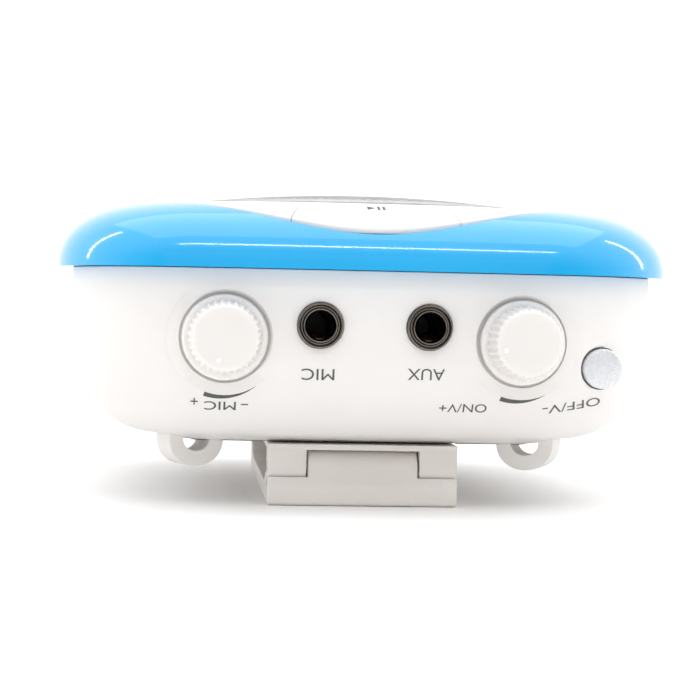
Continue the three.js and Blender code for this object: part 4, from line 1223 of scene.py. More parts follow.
@dataclass
class ControlRing:
    """White ring with four rocker keys let into it, and printed transport signs."""

    inner: float = 26.8
    outer: float = 37.5
    lip: float = 23.5
    seat: float = low("control_ring").z
    flange_top: float = low("control_ring").z + 1.6
    key_base: float = 36.95
    key_half: float = 17.5
    seam: float = 0.075
    radial_rows: int = 14
    stem_reach: float = 31.2
    edge: float = 0.16

    def sector(self, centre: float, half: float, base: float, inner: float, outer: float) -> BMesh:
        """Solid sector of the ring, between seams of even width.

        Args:
            centre: its middle angle in degrees.
            half: half its angle in degrees, to the middle of the seams.
            base: its lower height.
            inner: its inner radius.
            outer: its outer radius.

        Returns:
            The mesh.
        """
        mesh = bmesh.new()
        steps = int(half * 1.6)
        bmesh.ops.create_grid(mesh, x_segments=self.radial_rows, y_segments=steps, size=1.0)
        for vert in mesh.verts:
            reach = inner + (outer - inner) * (vert.co.x + 1) / 2
            limit = math.radians(half) - math.asin(self.seam / reach)
            angle = math.radians(centre) + limit * vert.co.y
            x, y = reach * math.cos(angle), FORM.ring_y + reach * math.sin(angle)
            vert.co = Vector((x, y, FORM.cover_z(x, y)))
        fill_down(mesh, base)
        return soften(face_out(mesh), self.edge, 3, 40)

    def stem(self, centre: float, radius: float, base: float) -> BMesh:
        """Round post under a key.

        Args:
            centre: the key's angle in degrees.
            radius: of the post.
            base: its lower height.

        Returns:
            The mesh.
        """
        spot = self.on_ring(centre, self.stem_reach)
        return placed(bar(radius, base, self.key_base + 0.5, 32), upright(spot.x, spot.y))

    @staticmethod
    def on_ring(centre: float, reach: float) -> Vector:
        """Place at an angle in degrees and a distance from the ring's centre."""
        turn = math.radians(centre)
        return Vector((reach * math.cos(turn), FORM.ring_y + reach * math.sin(turn)))

    def sign(self, name: str, centre: float, outlines: Sequence[Pairs], body: Body, palette: Palette) -> None:
        """Printed sign on a key, as thin raised ink.

        Args:
            name: the piece's name.
            centre: the key's angle in degrees.
            outlines: closed outlines, from the key's middle.
            body: the key's body.
            palette: the finishes.
        """
        solids = []
        spot = self.on_ring(centre, (self.inner + self.outer) / 2)
        for outline in outlines:
            flat = prism([Vector((u, v, 0)) for u, v in outline], Vector((0, 0, 1)))
            bmesh.ops.triangulate(flat, faces=flat.faces)
            for vert in flat.verts:
                x, y, lift = vert.co.x + spot.x, vert.co.y + spot.y, vert.co.z
                vert.co = Vector((x, y, FORM.cover_z(x, y) + ON_SURFACE * (lift * 2 - 1)))
            solids.append(face_out(flat))
        palette.make(name, merged(*solids), "ink", body=body)

    def build(self, palette: Palette) -> None:
        """Builds and dresses the ring, its keys and their signs."""
        gaps = [self.sector(centre, 45 - self.key_half, self.flange_top - 0.6, self.inner, self.outer)
                for centre in (-45, 45, 135, 225)]
        flange = turned([(self.lip, self.seat), (self.outer, self.seat), (self.outer, self.flange_top),
                         (self.lip, self.flange_top)], 160, closed=True)
        ring = object_of("ring", placed(flange, upright(0, FORM.ring_y)))
        boolean(ring, gaps, "UNION")
        boolean(ring, [self.stem(centre, 1.9, self.seat - 1) for centre in (-90, 0, 90, 180)])
        palette.fit(ring, "ring", ["control_ring"])
        stroke = [(0.45, -0.85), (0.8, -0.85), (0.8, 0.85), (0.45, 0.85)]
        arrow = [(-0.9, -0.85), (0.2, 0.0), (-0.9, 0.85)]

        def moved(shape: Pairs, shift: float) -> Pairs:
            """The shape, further along."""
            return [(x + shift, y) for x, y in shape]

        ahead = [moved(arrow, -0.4), moved(arrow, 0.7), moved(stroke, 1.0)]
        signs = {
            "play": [arrow, stroke, moved(stroke, 0.7)],
            "next": ahead,
            "previous": [[(-x, y) for x, y in reversed(shape)] for shape in ahead],
            "mode": [[(-1.2, v), (1.2, v), (1.2, v + 0.35), (-1.2, v + 0.35)] for v in (-0.9, -0.2, 0.5)],
        }
        for use, centre in (("play", -90), ("next", 0), ("mode", 90), ("previous", 180)):
            body = Body(f"{use}_button")
            key = self.sector(centre, self.key_half, self.key_base, self.inner + 0.3, self.outer - 0.05)
            piece = object_of(f"{use}_cap", key)
            boolean(piece, [self.stem(centre, 1.5, self.seat + 0.2)], "UNION")
            palette.fit(piece, "ring", [f"{use}_key"], body)
            self.sign(f"{use}_sign", centre, signs[use], body, palette)


@dataclass
class Grille:
    """Domed silver grille with staggered round holes, over black acoustic cloth."""

    radius: float = 26.5
    rim_z: float = 41.9
    top_z: float = high("speaker_grille").z
    foot_z: float = low("speaker_grille").z
    sheet: float = 0.7
    pitch: float = 1.45
    hole: float = 0.47
    band: float = 1.7
    roll: float = 0.5

    def dome(self, radius: float) -> float:
        """Height of the dome at a distance from its middle."""
        rise = self.top_z - self.rim_z
        ball = (self.radius**2 + rise**2) / (2 * rise)
        return self.top_z - ball + math.sqrt(ball**2 - radius**2)

    def perforated(self) -> BMesh:
        """The perforated sheet: six-sided cells, each opened by a round hole, raised into the dome."""
        mesh = bmesh.new()
        hole = bmesh.ops.create_circle(mesh, cap_ends=False, radius=self.hole, segments=12)["verts"]
        cell = bmesh.ops.create_circle(mesh, cap_ends=False, radius=self.pitch / 2, segments=12)["verts"]
        for vert in cell:
            side = round(math.degrees(math.atan2(vert.co.y, vert.co.x)) / 30)
            if side % 2:
                vert.co *= 2 / math.sqrt(3)
        bmesh.ops.bridge_loops(mesh, edges=loop_edges(mesh, hole) + loop_edges(mesh, cell))
        pattern = list(mesh.verts) + list(mesh.edges) + list(mesh.faces)
        limit = self.radius - self.band + 0.3
        span = int(limit / self.pitch) + 2
        for row in range(-span, span + 1):
            for column in range(-span, span + 1):
                x = (column + (0.5 if row % 2 else 0.0)) * self.pitch
                y = row * self.pitch * math.sqrt(3) / 2
                if (row, column) != (0, 0) and math.hypot(x, y) < limit:
                    made = bmesh.ops.duplicate(mesh, geom=pattern)["geom"]
                    bmesh.ops.translate(mesh, verts=verts_in(made), vec=(x, y, 0))
        bmesh.ops.remove_doubles(mesh, verts=mesh.verts, dist=0.01)
        for vert in mesh.verts:
            vert.co.z = self.dome(min(vert.co.length, self.radius)) - 0.04
        bmesh.ops.solidify(face_out(mesh), geom=mesh.faces, thickness=self.sheet - 0.2)
        return face_out(mesh)

    def rim(self) -> BMesh:
        """Solid rim that holds the sheet, with a rolled shoulder."""
        inner = self.radius - self.band
        shoulder = self.radius - self.roll
        steps = [inner + (shoulder - inner) * t for t in (0.0, 0.25, 0.5, 0.75, 1.0)]
        top = [(reach, self.dome(reach)) for reach in steps]
        rolled = arc(shoulder, top[-1][1] - self.roll, self.roll, 80, 0, 5)
        wall = [(self.radius, self.foot_z), (self.radius - self.sheet, self.foot_z),
                (self.radius - self.sheet, top[-1][1] - 1.2), (inner, top[0][1] - self.sheet)]
        return turned([*top, *rolled, *wall], 180, closed=True)

    def build(self, palette: Palette) -> None:
        """Builds and dresses the grille and the cloth under it."""
        here = upright(0, FORM.ring_y)
        palette.make("grille_rim", placed(self.rim(), here), "mesh", "speaker_grille")
        palette.make("grille_sheet", placed(self.perforated(), here), "mesh")
        steps = [(self.radius - 1.2) * t / 8 for t in range(9)]
        profile = [(r, self.dome(r) - 1.1) for r in steps]
        profile += [(r, z - 0.4) for r, z in reversed(profile)]
        palette.make("grille_cloth", placed(turned(profile, 96), here), "cloth")


@dataclass
class Knob:
    """Ribbed thumb knob on a thin skirt, with a raised pointer dot, and its steel shaft."""

    use: str
    body: Body
    dot_angle: float
    dot_reach: float
    skirt: float = 5.6
    skirt_depth: float = 1.3
    back: float = 48.6
    height: float = 4.8
    base: float = 4.95
    top: float = 4.5
    ribs: int = 32
    rib_depth: float = 0.28

    def ribbed(self) -> BMesh:
        """Ribbed frustum whose ribs fade into a rolled, slightly domed face."""
        foot = self.back + self.skirt_depth
        crest = foot + self.height

        def ripple(depth: float) -> Callable[[float], float]:
            """Rounded ribs of a depth."""
            return lambda angle: -depth * (0.5 + 0.5 * math.cos(self.ribs * angle)) ** 0.7

        count = self.ribs * 8
        rows = [circle_points(self.base, foot - 0.4, count, ripple(self.rib_depth))]
        for step in range(0, 7):
            share = step / 6
            radius = self.base + (self.top + 0.04 - self.base) * share
            height = foot + (self.height - 0.75) * share
            rows.append(circle_points(radius, height, count, ripple(self.rib_depth)))
        for radius, height, depth in ((-0.02, 0.55, 0.26), (-0.08, 0.38, 0.2), (-0.18, 0.24, 0.12),
                                      (-0.33, 0.12, 0.05), (-0.52, 0.045, 0.0), (-0.8, 0.0, 0.0)):
            rows.append(circle_points(self.top + radius, crest - height, count, ripple(depth)))
        for share, lift in ((0.75, 0.06), (0.5, 0.12), (0.25, 0.165), (0.08, 0.18)):
            rows.append(circle_points((self.top - 0.8) * share, crest + lift, count))
        return loft(rows)

    def build(self, palette: Palette) -> None:
        """Builds and dresses the knob, its dot and its shaft."""
        centre = middle(f"{self.use}_knob")
        here = lengthwise(centre.x, centre.z)
        foot = self.back + self.skirt_depth
        skirt = [(3.1, self.back), (self.skirt - 0.15, self.back), (self.skirt, self.back + 0.15),
                 *arc(self.skirt - 0.5, foot - 0.4, 0.5, 0, 80, 5), (self.base - 0.5, foot + 0.12),
                 (self.base - 0.5, foot + 1.0), (3.1, foot + 1.0)]
        knob = object_of(f"{self.use}_dial", placed(self.ribbed(), here))
        boolean(knob, [placed(turned(skirt, 128, closed=True), here)], "UNION")
        boolean(knob, [placed(bar(3.1, self.back - 1, foot + 3.0), here)])
        palette.fit(knob, "knob", [f"{self.use}_knob"], self.body)
        turn = math.radians(self.dot_angle)
        x, z = centre.x + self.dot_reach * math.cos(turn), centre.z + self.dot_reach * math.sin(turn)
        crest = foot + self.height + 0.06
        dot = turned([(0, crest - 0.3), (0.34, crest - 0.3), (0.34, crest + 0.03), (0.26, crest + 0.08),
                      (0.12, crest + 0.1), (0, crest + 0.1)], 32)
        # the dot's pale finish is a painted highlight of the light catching it
        palette.make(f"{self.use}_dot", placed(dot, lengthwise(x, z)), "dot", body=self.body)
        node = f"{self.use}_shaft"
        tip, root = -low(node).y, -high(node).y
        shaft = [(0, root), (2.85, root), (3.0, root + 0.15), (3.0, tip - 0.3), (2.7, tip), (0, tip)]
        palette.make(f"{self.use}_spindle", placed(turned(shaft, 64), here), "steel", node, body=self.body)


@dataclass
class Jack:
    """Grooved dark nickel bush of a small round socket, its black body and its sprung contact."""

    use: str
    radius: float = 3.0
    bore: float = 1.8
    contact_width: float = 1.9
    contact_reach: float = 2.6

    def build(self, palette: Palette) -> None:
        """Builds and dresses the bush, the body and the contact."""
        ferrule = f"{self.use}_jack_ferrule"
        bush, face, back = middle(ferrule), -low(ferrule).y, -high(ferrule).y
        here = lengthwise(bush.x, bush.z)
        profile = [
            (self.bore, back), (self.bore, face - 0.75), (1.86, face - 0.5), (2.0, face - 0.16),
            *arc(2.14, face - 0.13, 0.1, 170, 10, 5), (2.26, face - 0.45), (2.38, face - 0.62),
            (2.54, face - 0.62), (2.64, face - 0.4), (2.68, face - 0.12),
            *arc(2.82, face - 0.1, 0.1, 160, 20, 4), (2.98, face - 0.18), (self.radius, face - 0.3),
            (self.radius, back),
        ]
        palette.make(f"{self.use}_bush", placed(turned(profile, 128, closed=True), here), "nickel", ferrule)
        lo, hi = low(f"{self.use}_jack_body"), high(f"{self.use}_jack_body")
        size = hi - lo
        block = prism(rounded_outline(size.x, size.z, 0.6), Vector((0, 0, size.y)))
        lay = Matrix.Translation((0, hi.y, 0)) @ lengthwise(bush.x, (lo.z + hi.z) / 2)
        body = object_of(f"{self.use}_socket_body", placed(block, lay))
        boolean(body, [placed(bar(self.bore, -hi.y + 1.2, -lo.y + 2, 64), here)])
        palette.fit(body, "black", [f"{self.use}_jack_body"])
        start = lo.y - self.contact_reach
        spine = [(start + 0.9 * t, -1.72 + 1.05 * math.sin(math.pi * min(t / 7, 1.0)) ** 1.5)
                 for t in range(10)]
        under = [(y, z - 0.22) for y, z in reversed(spine)]
        half = self.contact_width / 2
        strip = prism([Vector((bush.x - half, y, bush.z + max(z, -1.78))) for y, z in spine + under],
                      Vector((2 * half, 0, 0)))
        palette.make(f"{self.use}_contact", strip, "bronze")


@dataclass
class Aerial:
    """Telescopic aerial: four drawn tubes and a solid rod that ends in a turned cap."""

    cap_radius: float = 2.7
    wall: float = 0.3

    def tube(self, node: str, name: str, body: Body, palette: Palette) -> None:
        """One drawn tube with a rolled mouth.

        Args:
            node: the frame node that it stands for.
            name: the piece's name.
            body: the tube's body.
            palette: the finishes.
        """
        lo, hi, centre = low(node), high(node), middle(node)
        outer = (hi.z - lo.z) / 2
        inner = outer - self.wall
        mouth, foot = -lo.y, -hi.y
        profile = [(inner, foot), (outer - 0.05, foot), (outer, foot + 0.05), (outer, mouth - 0.35),
                   (outer - 0.05, mouth - 0.12), (outer - 0.12, mouth), (inner + 0.08, mouth),
                   (inner, mouth - 0.1)]
        tube = placed(turned(profile, 64, closed=True), lengthwise(centre.x, centre.z))
        palette.make(name, tube, "chrome", node, body=body)

    def build(self, palette: Palette) -> None:
        """Builds and dresses the tubes, the rod and its cap."""
        self.tube("aerial_sleeve", "drawn_sleeve", Body.HOUSING, palette)
        for index, body in enumerate((Body.AERIAL_FIRST, Body.AERIAL_SECOND, Body.AERIAL_THIRD), start=1):
            self.tube(f"aerial_tube_{index}", f"drawn_tube_{index}", body, palette)
        centre = middle("aerial_sleeve")
        face, back = -low("aerial_rod").y, -high("aerial_rod").y
        neck, waist = face - 2.2, self.cap_radius - 0.12
        rod = [(0, back), (0.6, back), (0.7, back + 0.1), (0.7, neck), (waist, neck),
               (self.cap_radius, neck + 0.12), (self.cap_radius, neck + 0.7), (waist, neck + 0.8),
               (waist, neck + 0.95), (self.cap_radius, neck + 1.05),
               *arc(self.cap_radius - 0.35, face - 0.4, 0.35, 0, 80, 5), (1.6, face - 0.02), (0.15, face),
               (0, face)]
        rod = placed(turned(rod, 96), lengthwise(centre.x, centre.z))
        palette.make("capped_rod", rod, "faced", "aerial_rod", body=Body.AERIAL_TIP)


@dataclass
class BeltClip:
    """Sprung belt clip: a bracket with two ears, a lever with a knuckle between them, a pin and a coil."""

    half_width: float = high("clip_bracket").x
    near: float = low("clip_bracket").y
    plate_low: float = 7.66
    plate_high: float = high("clip_bracket").z
    length: float = 18.0
    knuckle: float = 7.7
    ear: float = 2.6
    axis_y: float = middle("hinge_pin").y
    axis_z: float = middle("hinge_pin").z
    tip: float = low("clip_bracket").y + 62.0
    thick: float = 2.3
    edge: float = 0.3

    def across(self, section: Pairs, start: float, end: float) -> BMesh:
        """Section in Y and Z drawn across from one X to another."""
        return prism([Vector((start, y, z)) for y, z in section], Vector((end - start, 0, 0)))

    def rod(self, radius: float, start: float, end: float, segments: int = 64) -> BMesh:
        """Round bar about the hinge axis from one X to another."""
        return placed(bar(radius, start, end, segments), crosswise(self.axis_y, self.axis_z))

    def lever_section(self) -> list[tuple[float, float]]:
        """Side section of the lever, with its upturned tip."""
        tip = self.tip
        toe = [(tip - 4, 0), (tip - 0.5, 0), (tip + 1.5, 2.5), (tip, 5.6)]
        nose = [(tip, 5.6), (tip - 0.35, 7.3), (tip - 1.6, 7.7), (tip - 2.6, 6.8)]
        inside = [(tip - 2.6, 6.8), (tip - 3, 4.5), (tip - 4.5, self.thick), (tip - 7.5, self.thick)]
        points = arc(self.near + 0.6, 0.6, 0.6, 180, 270, 5)
        for curve in (toe, nose, inside):
            points += [bezier(curve, t / 9) for t in range(10)]
        return points + [(self.near + 12, self.thick), (self.near + 8, 4.0), (self.near, 4.0)]

    def lever(self, palette: Palette) -> None:
        """Builds and dresses the lever."""
        blank = self.across(self.lever_section(), -self.half_width, self.half_width)
        lever = object_of("lever", round_ends(blank, self.edge))
        half = self.knuckle - 0.1
        top = self.plate_low - self.axis_z - 0.12
        crown = [(self.axis_y - self.ear * math.cos(t), self.axis_z + top * math.sin(t))
                 for t in (math.pi / 2 * step / 10 for step in range(11))]
        back = [(self.axis_y + top * math.sin(t), self.axis_z + top * math.cos(t))
                for t in (math.radians(10 * step) for step in range(1, 12))]
        section = [(self.near, 1.6), *crown, *back, (self.axis_y + 2.0, 1.6)]
        knuckle = soften(self.across(section, -half, half), 0.45, 4, 50)
        ears = [self.rod(self.ear + 0.3, *sorted((side * half, side * 20))) for side in (-1, 1)]
        boolean(lever, ears)
        boolean(lever, [knuckle], "UNION")
        room = 1.95
        slot = self.across([(self.axis_y, self.axis_z - room), (self.axis_y + 12, self.axis_z - room),
                            (self.axis_y + 12, 9), (self.axis_y, 9)], -3, 3)
        boolean(lever, [self.rod(0.9, -20, 20, 32), self.rod(room, -3, 3, 48), slot])
        palette.fit(lever, "clip", ["clip_lever"], Body.LEVER)
        for row in range(3):
            y = self.tip - 12 - 2.2 * row
            section = [(y, 2.1), (y, 2.75), (y + 0.9, 2.75), (y + 0.9, 2.1)]
            rib = soften(self.across(section, -9, 9), 0.2, 2, 50)
            palette.make(f"grip_rib_{row + 1}", rib, "clip", body=Body.LEVER)

    def bracket(self, palette: Palette) -> None:
        """Builds and dresses the bracket."""
        size = (2 * self.half_width, self.length, self.plate_high - self.plate_low)
        centre = (0, self.near + self.length / 2, (self.plate_low + self.plate_high) / 2)
        bracket = object_of("bracket", soften(rounded_block(size, centre, 0.4), 0.12, 2, 50))
        ears = []
        for side in (-1, 1):
            curve = arc(self.axis_y, self.axis_z, self.ear, 180, 360, 24)
            section = [(self.near, 8.0), *curve, (self.near + 2 * self.ear, 8.0)]
            ends = sorted((side * (self.knuckle + 0.1), side * (self.half_width - 0.02)))
            ears.append(soften(self.across(section, *ends), 0.3, 3, 50))
        boolean(bracket, ears, "UNION")
        holes = []
        for use in ("left", "right"):
            spot = middle(f"bracket_screw_{use}")
            holes.append(placed(bar(1.3, 0, 12, 32), upright(spot.x, spot.y)))
        boolean(bracket, [self.rod(0.9, -20, 20, 32), *holes])
        palette.fit(bracket, "clip", ["clip_bracket"])

    def build(self, palette: Palette) -> None:
        """Builds and dresses the whole clip."""
        self.bracket(palette)
        self.lever(palette)
        end = high("hinge_pin").x
        pin = [(0, -end), (0.65, -end), (0.8, -end + 0.15), (0.8, end - 0.15), (0.65, end), (0, end)]
        pin = placed(turned(pin, 40), crosswise(self.axis_y, self.axis_z))
        palette.make("steel_pin", pin, "steel", "hinge_pin")
        palette.make("coil_spring", self.coil(), "steel", "clip_spring")

    def coil(self, turns: float = 4.0, radius: float = 1.35, wire: float = 0.3, width: float = 4.8) -> BMesh:
        """Torsion spring wound round the pin.

        Args:
            turns: how many it has.
            radius: of the wire's middle.
            wire: the wire's radius.
            width: of the coil.

        Returns:
            The mesh.
        """
        rows = []
        steps = 160
        for step in range(steps + 1):
            share = step / steps
            turn = share * turns * 2 * math.pi + math.pi / 2
            across = Vector((0, math.cos(turn), math.sin(turn)))
            centre = Vector((width * (share - 0.5), self.axis_y, self.axis_z)) + across * radius
            rows.append([centre + across * p.x + Vector((p.y, 0, 0)) for p in circle_points(wire, 0.0, 12)])
        return loft(rows)


def bezier(points: Pairs, t: float) -> tuple[float, float]:
    """Point of a cubic curve."""
    weights = ((1 - t) ** 3, 3 * t * (1 - t) ** 2, 3 * t**2 * (1 - t), t**3)
    return sum(w * p[0] for w, p in zip(weights, points)), sum(w * p[1] for w, p in zip(weights, points))


@dataclass
class StrapLug:
    """Rounded loop under the case that takes a neck strap."""

    side: int
    use: str
    spot: tuple[float, float] = (23.8, -32.0)
    bottom: float = low("strap_lug_right").z
    half: float = 4.1
    wall: float = 2.1
    depth: float = 4.5
    turn: float = 25.0
    top: float = 10.2

    def arch(self, half: float, bottom: float, top: float) -> list[Vector]:
        """Closed loop of the arch in its own plane, with as many points for every size."""
        left = [(-half, top), (-half, bottom + half * 0.9), (-half, bottom + half * 0.3),
                (-half * 0.48, bottom), (0, bottom)]
        side = [bezier(left[1:], t / 10) for t in range(11)]
        straight = [(-half, top + (left[1][1] - top) * t / 3) for t in range(3)]
        over = [(-half + 2 * half * t / 6, top) for t in range(6, 0, -1)]
        points = straight + side
        points += [(-x, z) for x, z in reversed(points[:-1])]
        return [Vector((x, 0, z)) for x, z in points[:-1] + over]

    def build(self, palette: Palette) -> None:
        """Builds and dresses the lug."""
        outer = self.arch(self.half, self.bottom, self.top)
        inner = self.arch(self.half - self.wall, self.bottom + self.wall, self.top - 0.9)
        shift = Vector((0, self.depth / 2, 0))
        rows = [[p - shift for p in outer], [p + shift for p in outer], [p + shift for p in inner],
                [p - shift for p in inner]]
        mesh = soften(loft(rows, closed=True), 0.85, 6, 60)
        swing = Matrix.Rotation(math.radians(-self.side * self.turn), 4, "Z")
        mesh = placed(mesh, upright(self.side * self.spot[0], self.spot[1]) @ swing)
        palette.make(f"{self.use}_loop", mesh, "white", f"strap_lug_{self.use}")


@dataclass
class Screw:
    """Pan-head screw with a cross recess, head down."""

    node: str
    name: str
    head: float
    head_height: float
    shank: float = 1.15

    def build(self, palette: Palette) -> None:
        """Builds and dresses the screw."""
        lo, hi, centre = low(self.node), high(self.node), middle(self.node)
        bottom = lo.z
        seat = bottom + self.head_height
        profile = [(0, bottom), (self.head * 0.7, bottom + 0.03), (self.head * 0.9, bottom + 0.16),
                   (self.head, bottom + 0.4), (self.head, seat), (self.shank, seat), (self.shank, hi.z - 0.6),
                   (0.4, hi.z), (0, hi.z)]
        here = upright(centre.x, centre.y)
        screw = object_of(self.name, placed(turned(profile, 48), here))
        reach, half = self.head * 0.6, 0.24
        cross = [Vector((x * reach, y * half, 0)) for x, y in ((-1, -1), (1, -1), (1, 1), (-1, 1))]
        turns = [here @ Matrix.Rotation(math.radians(angle), 4, "Z") for angle in (0, 90)]
        boolean(screw, [placed(prism(cross, Vector((0, 0, bottom + 0.6))), turn) for turn in turns])
        palette.fit(screw, "steel", [self.node])


@dataclass
class Legends:
    """Grey printed legends and volume wedges on the knob end, read with the front towards the floor."""

    wedge_reach: float = 8.2
    wedge_start: float = -109.0
    wedge_sweep: float = 61.0

    def lay(self, name: str, mesh: BMesh, palette: Palette) -> None:
        """Lays thin print on the end wall.

        Args:
            name: the piece's name.
            mesh: print in X and Z, its thickness along Y from 0 to 1.
            palette: the finishes.
        """
        for vert in mesh.verts:
            wall = FORM.end_wall_y(vert.co.x, vert.co.z)
            vert.co.y = wall + ON_SURFACE * (1 - 2 * vert.co.y)
        palette.make(name, face_out(mesh), "ink")

    def text(
        self, palette: Palette, name: str, words: str, x: float, z: float, width: float, height: float,
        tilt: float = 0.0
    ) -> None:
        """Lettering centred on a place, upside down as seen with the clip on the floor.

        Args:
            palette: the finishes.
            name: the piece's name.
            words: the lettering.
            x: its centre across.
            z: its centre's height.
            width: its whole width.
            height: the height of its capitals.
            tilt: turn in degrees.
        """
        curve = bpy.data.curves.new(name, "FONT")
        curve.body = words
        curve.extrude = 0.5
        curve.resolution_u = 6
        carrier = bpy.data.objects.new(name, curve)
        bpy.context.scene.collection.objects.link(carrier)
        bpy.context.view_layer.update()
        flat = bpy.data.meshes.new_from_object(carrier.evaluated_get(bpy.context.evaluated_depsgraph_get()))
        bpy.data.objects.remove(carrier)
        bpy.data.curves.remove(curve)
        mesh = bmesh.new()
        mesh.from_mesh(flat)
        bpy.data.meshes.remove(flat)
        bmesh.ops.remove_doubles(mesh, verts=mesh.verts, dist=1e-5)
        xs, ys = [v.co.x for v in mesh.verts], [v.co.y for v in mesh.verts]
        stretch = (width / (max(xs) - min(xs)), height / (max(ys) - min(ys)))
        centre = ((max(xs) + min(xs)) / 2, (max(ys) + min(ys)) / 2)
        turn = Matrix.Rotation(math.radians(tilt), 2)
        for vert in mesh.verts:
            place = Vector(((vert.co.x - centre[0]) * stretch[0], (vert.co.y - centre[1]) * stretch[1]))
            place = turn @ place
            vert.co = Vector((x - place.x, vert.co.z + 0.5, z - place.y))
        self.lay(name, mesh, palette)

    def wedge(self, name: str, centre: tuple[float, float], palette: Palette) -> None:
        """Curved wedge under a knob that thins towards the quiet end."""
        steps = 28
        outside, inside = [], []
        for step in range(steps + 1):
            share = step / steps
            turn = math.radians(self.wedge_start + self.wedge_sweep * share)
            outer, thick = self.wedge_reach - 0.75 * share**1.6, 0.46 * (1 - share**1.4) + 0.12
            for points, reach in ((outside, outer), (inside, outer - thick)):
                x, z = centre[0] + reach * math.cos(turn), centre[1] + reach * math.sin(turn)
                points.append(Vector((x, 0, z)))
        outline = outside + inside[::-1]
        mesh = bmesh.new()
        skin_rows(mesh, [outline, [p + Vector((0, 1, 0)) for p in outline]])
        cap(mesh, mesh.edges)
        bmesh.ops.triangulate(mesh, faces=[face for face in mesh.faces if len(face.verts) > 4])
        self.lay(name, mesh, palette)

    def build(self, palette: Palette) -> None:
        """Builds and dresses every legend."""
        for name, words, *place in (
            ("mic_socket", "MIC", -7.35, 18.45, 4.3, 1.5), ("aux_socket", "AUX", 6.9, 18.7, 4.9, 1.5),
            ("mic_level", "MIC", -20.0, 14.02, 4.15, 1.15), ("mic_more", "+", -23.4, 14.55, 0.95, 0.95),
            ("mic_less", "-", -16.8, 14.25, 0.95, 0.16), ("power_on", "ON/V+", 12.15, 14.25, 6.4, 1.15),
            ("power_off", "OFF/V-", 27.1, 14.75, 8.3, 1.15, 9.0),
        ):
            self.text(palette, f"legend_{name}", words, *place)
        for use in ("mic", "power"):
            spot = middle(f"{use}_knob")
            self.wedge(f"{use}_wedge", (spot.x, spot.z), palette)


@dataclass
class Fittings:
    """Display window, status light and the charging socket at the far end."""

    window_edge: float = 0.18
    dome: float = 0.45

    def build(self, palette: Palette) -> None:
        """Builds and dresses them."""
        lo, hi = low("display_window"), high("display_window")
        centre = (lo + hi) / 2
        width, depth = hi.x - lo.x, hi.y - lo.y
        mesh = bmesh.new()
        bmesh.ops.create_grid(mesh, x_segments=24, y_segments=10, size=1.0)
        for vert in mesh.verts:
            x, y = vert.co.x * width / 2, centre.y + vert.co.y * depth / 2
            vert.co = Vector((x, y, min(FORM.cover_z(x, y), hi.z) - 0.04))
        fill_down(mesh, lo.z)
        corners = [edge for edge in mesh.edges if abs(edge.verts[0].co.z - edge.verts[1].co.z) > 1
                   and abs(edge.verts[0].co.x) > width / 2 - 0.01
                   and abs(abs(edge.verts[0].co.y - centre.y) - depth / 2) < 0.01]
        bmesh.ops.bevel(mesh, geom=corners, offset=1.1, affect="EDGES", segments=6, profile=0.5, material=-1)
        palette.make("lens", soften(face_out(mesh), self.window_edge, 2, 60), "lens", "display_window")
        light, foot, top = middle("status_light"), low("status_light").z, high("status_light").z
        shoulder = top - self.dome
        dome = [(math.cos(t), shoulder + self.dome * math.sin(t)) for t in (0.3, 0.6, 0.9, 1.2)]
        pipe = turned([(0, foot), (1.0, foot), (1.0, shoulder), *dome, (0, top)], 48)
        palette.make("light_dome", placed(pipe, upright(light.x, light.y)), "light", "status_light")
        lo, hi = low("charge_socket"), high("charge_socket")
        size = hi - lo
        lay = Matrix.Translation((0, hi.y, 0)) @ lengthwise(0, (lo.z + hi.z) / 2)
        socket = object_of("socket_shell", placed(prism(rounded_outline(size.x, size.z, 1.3),
                                                        Vector((0, 0, size.y))), lay))
        mouth = rounded_outline(size.x - 0.7, size.z - 0.7, 0.95, -1.0)
        boolean(socket, [placed(prism(mouth, Vector((0, 0, size.y - 0.3))), lay)])
        tongue = rounded_outline(5.2, 0.6, 0.2, 0.6)
        boolean(socket, [placed(prism(tongue, Vector((0, 0, size.y - 1.0))), lay)], "UNION")
        palette.fit(socket, "steel", ["charge_socket"])


class Works:
    """The parts inside, which keep their frame meshes and get their finishes."""

    finishes = {
        "steel": ("speaker_frame", "board_screw_left", "board_screw_right"),
        "cone": ("speaker_cone",),
        "magnet": ("speaker_magnet",),
        "board": ("main_board", "key_board", "power_board"),
        "wrap": ("battery_cell",),
        "black": ("display_module", "mic_pot_body", "power_pot_body", "key_switch_1", "key_switch_2",
                  "key_switch_3", "key_switch_4"),
    }

    def build(self, palette: Palette) -> None:
        """Dresses each inner part."""
        for finish, nodes in self.finishes.items():
            for node in nodes:
                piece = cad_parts[node]
                if not piece.material_slots:
                    piece.data.materials.append(palette[finish])
                for slot in piece.material_slots:
                    slot.material = palette[finish]
                LOG.info("%s is finished in %s", node, finish)


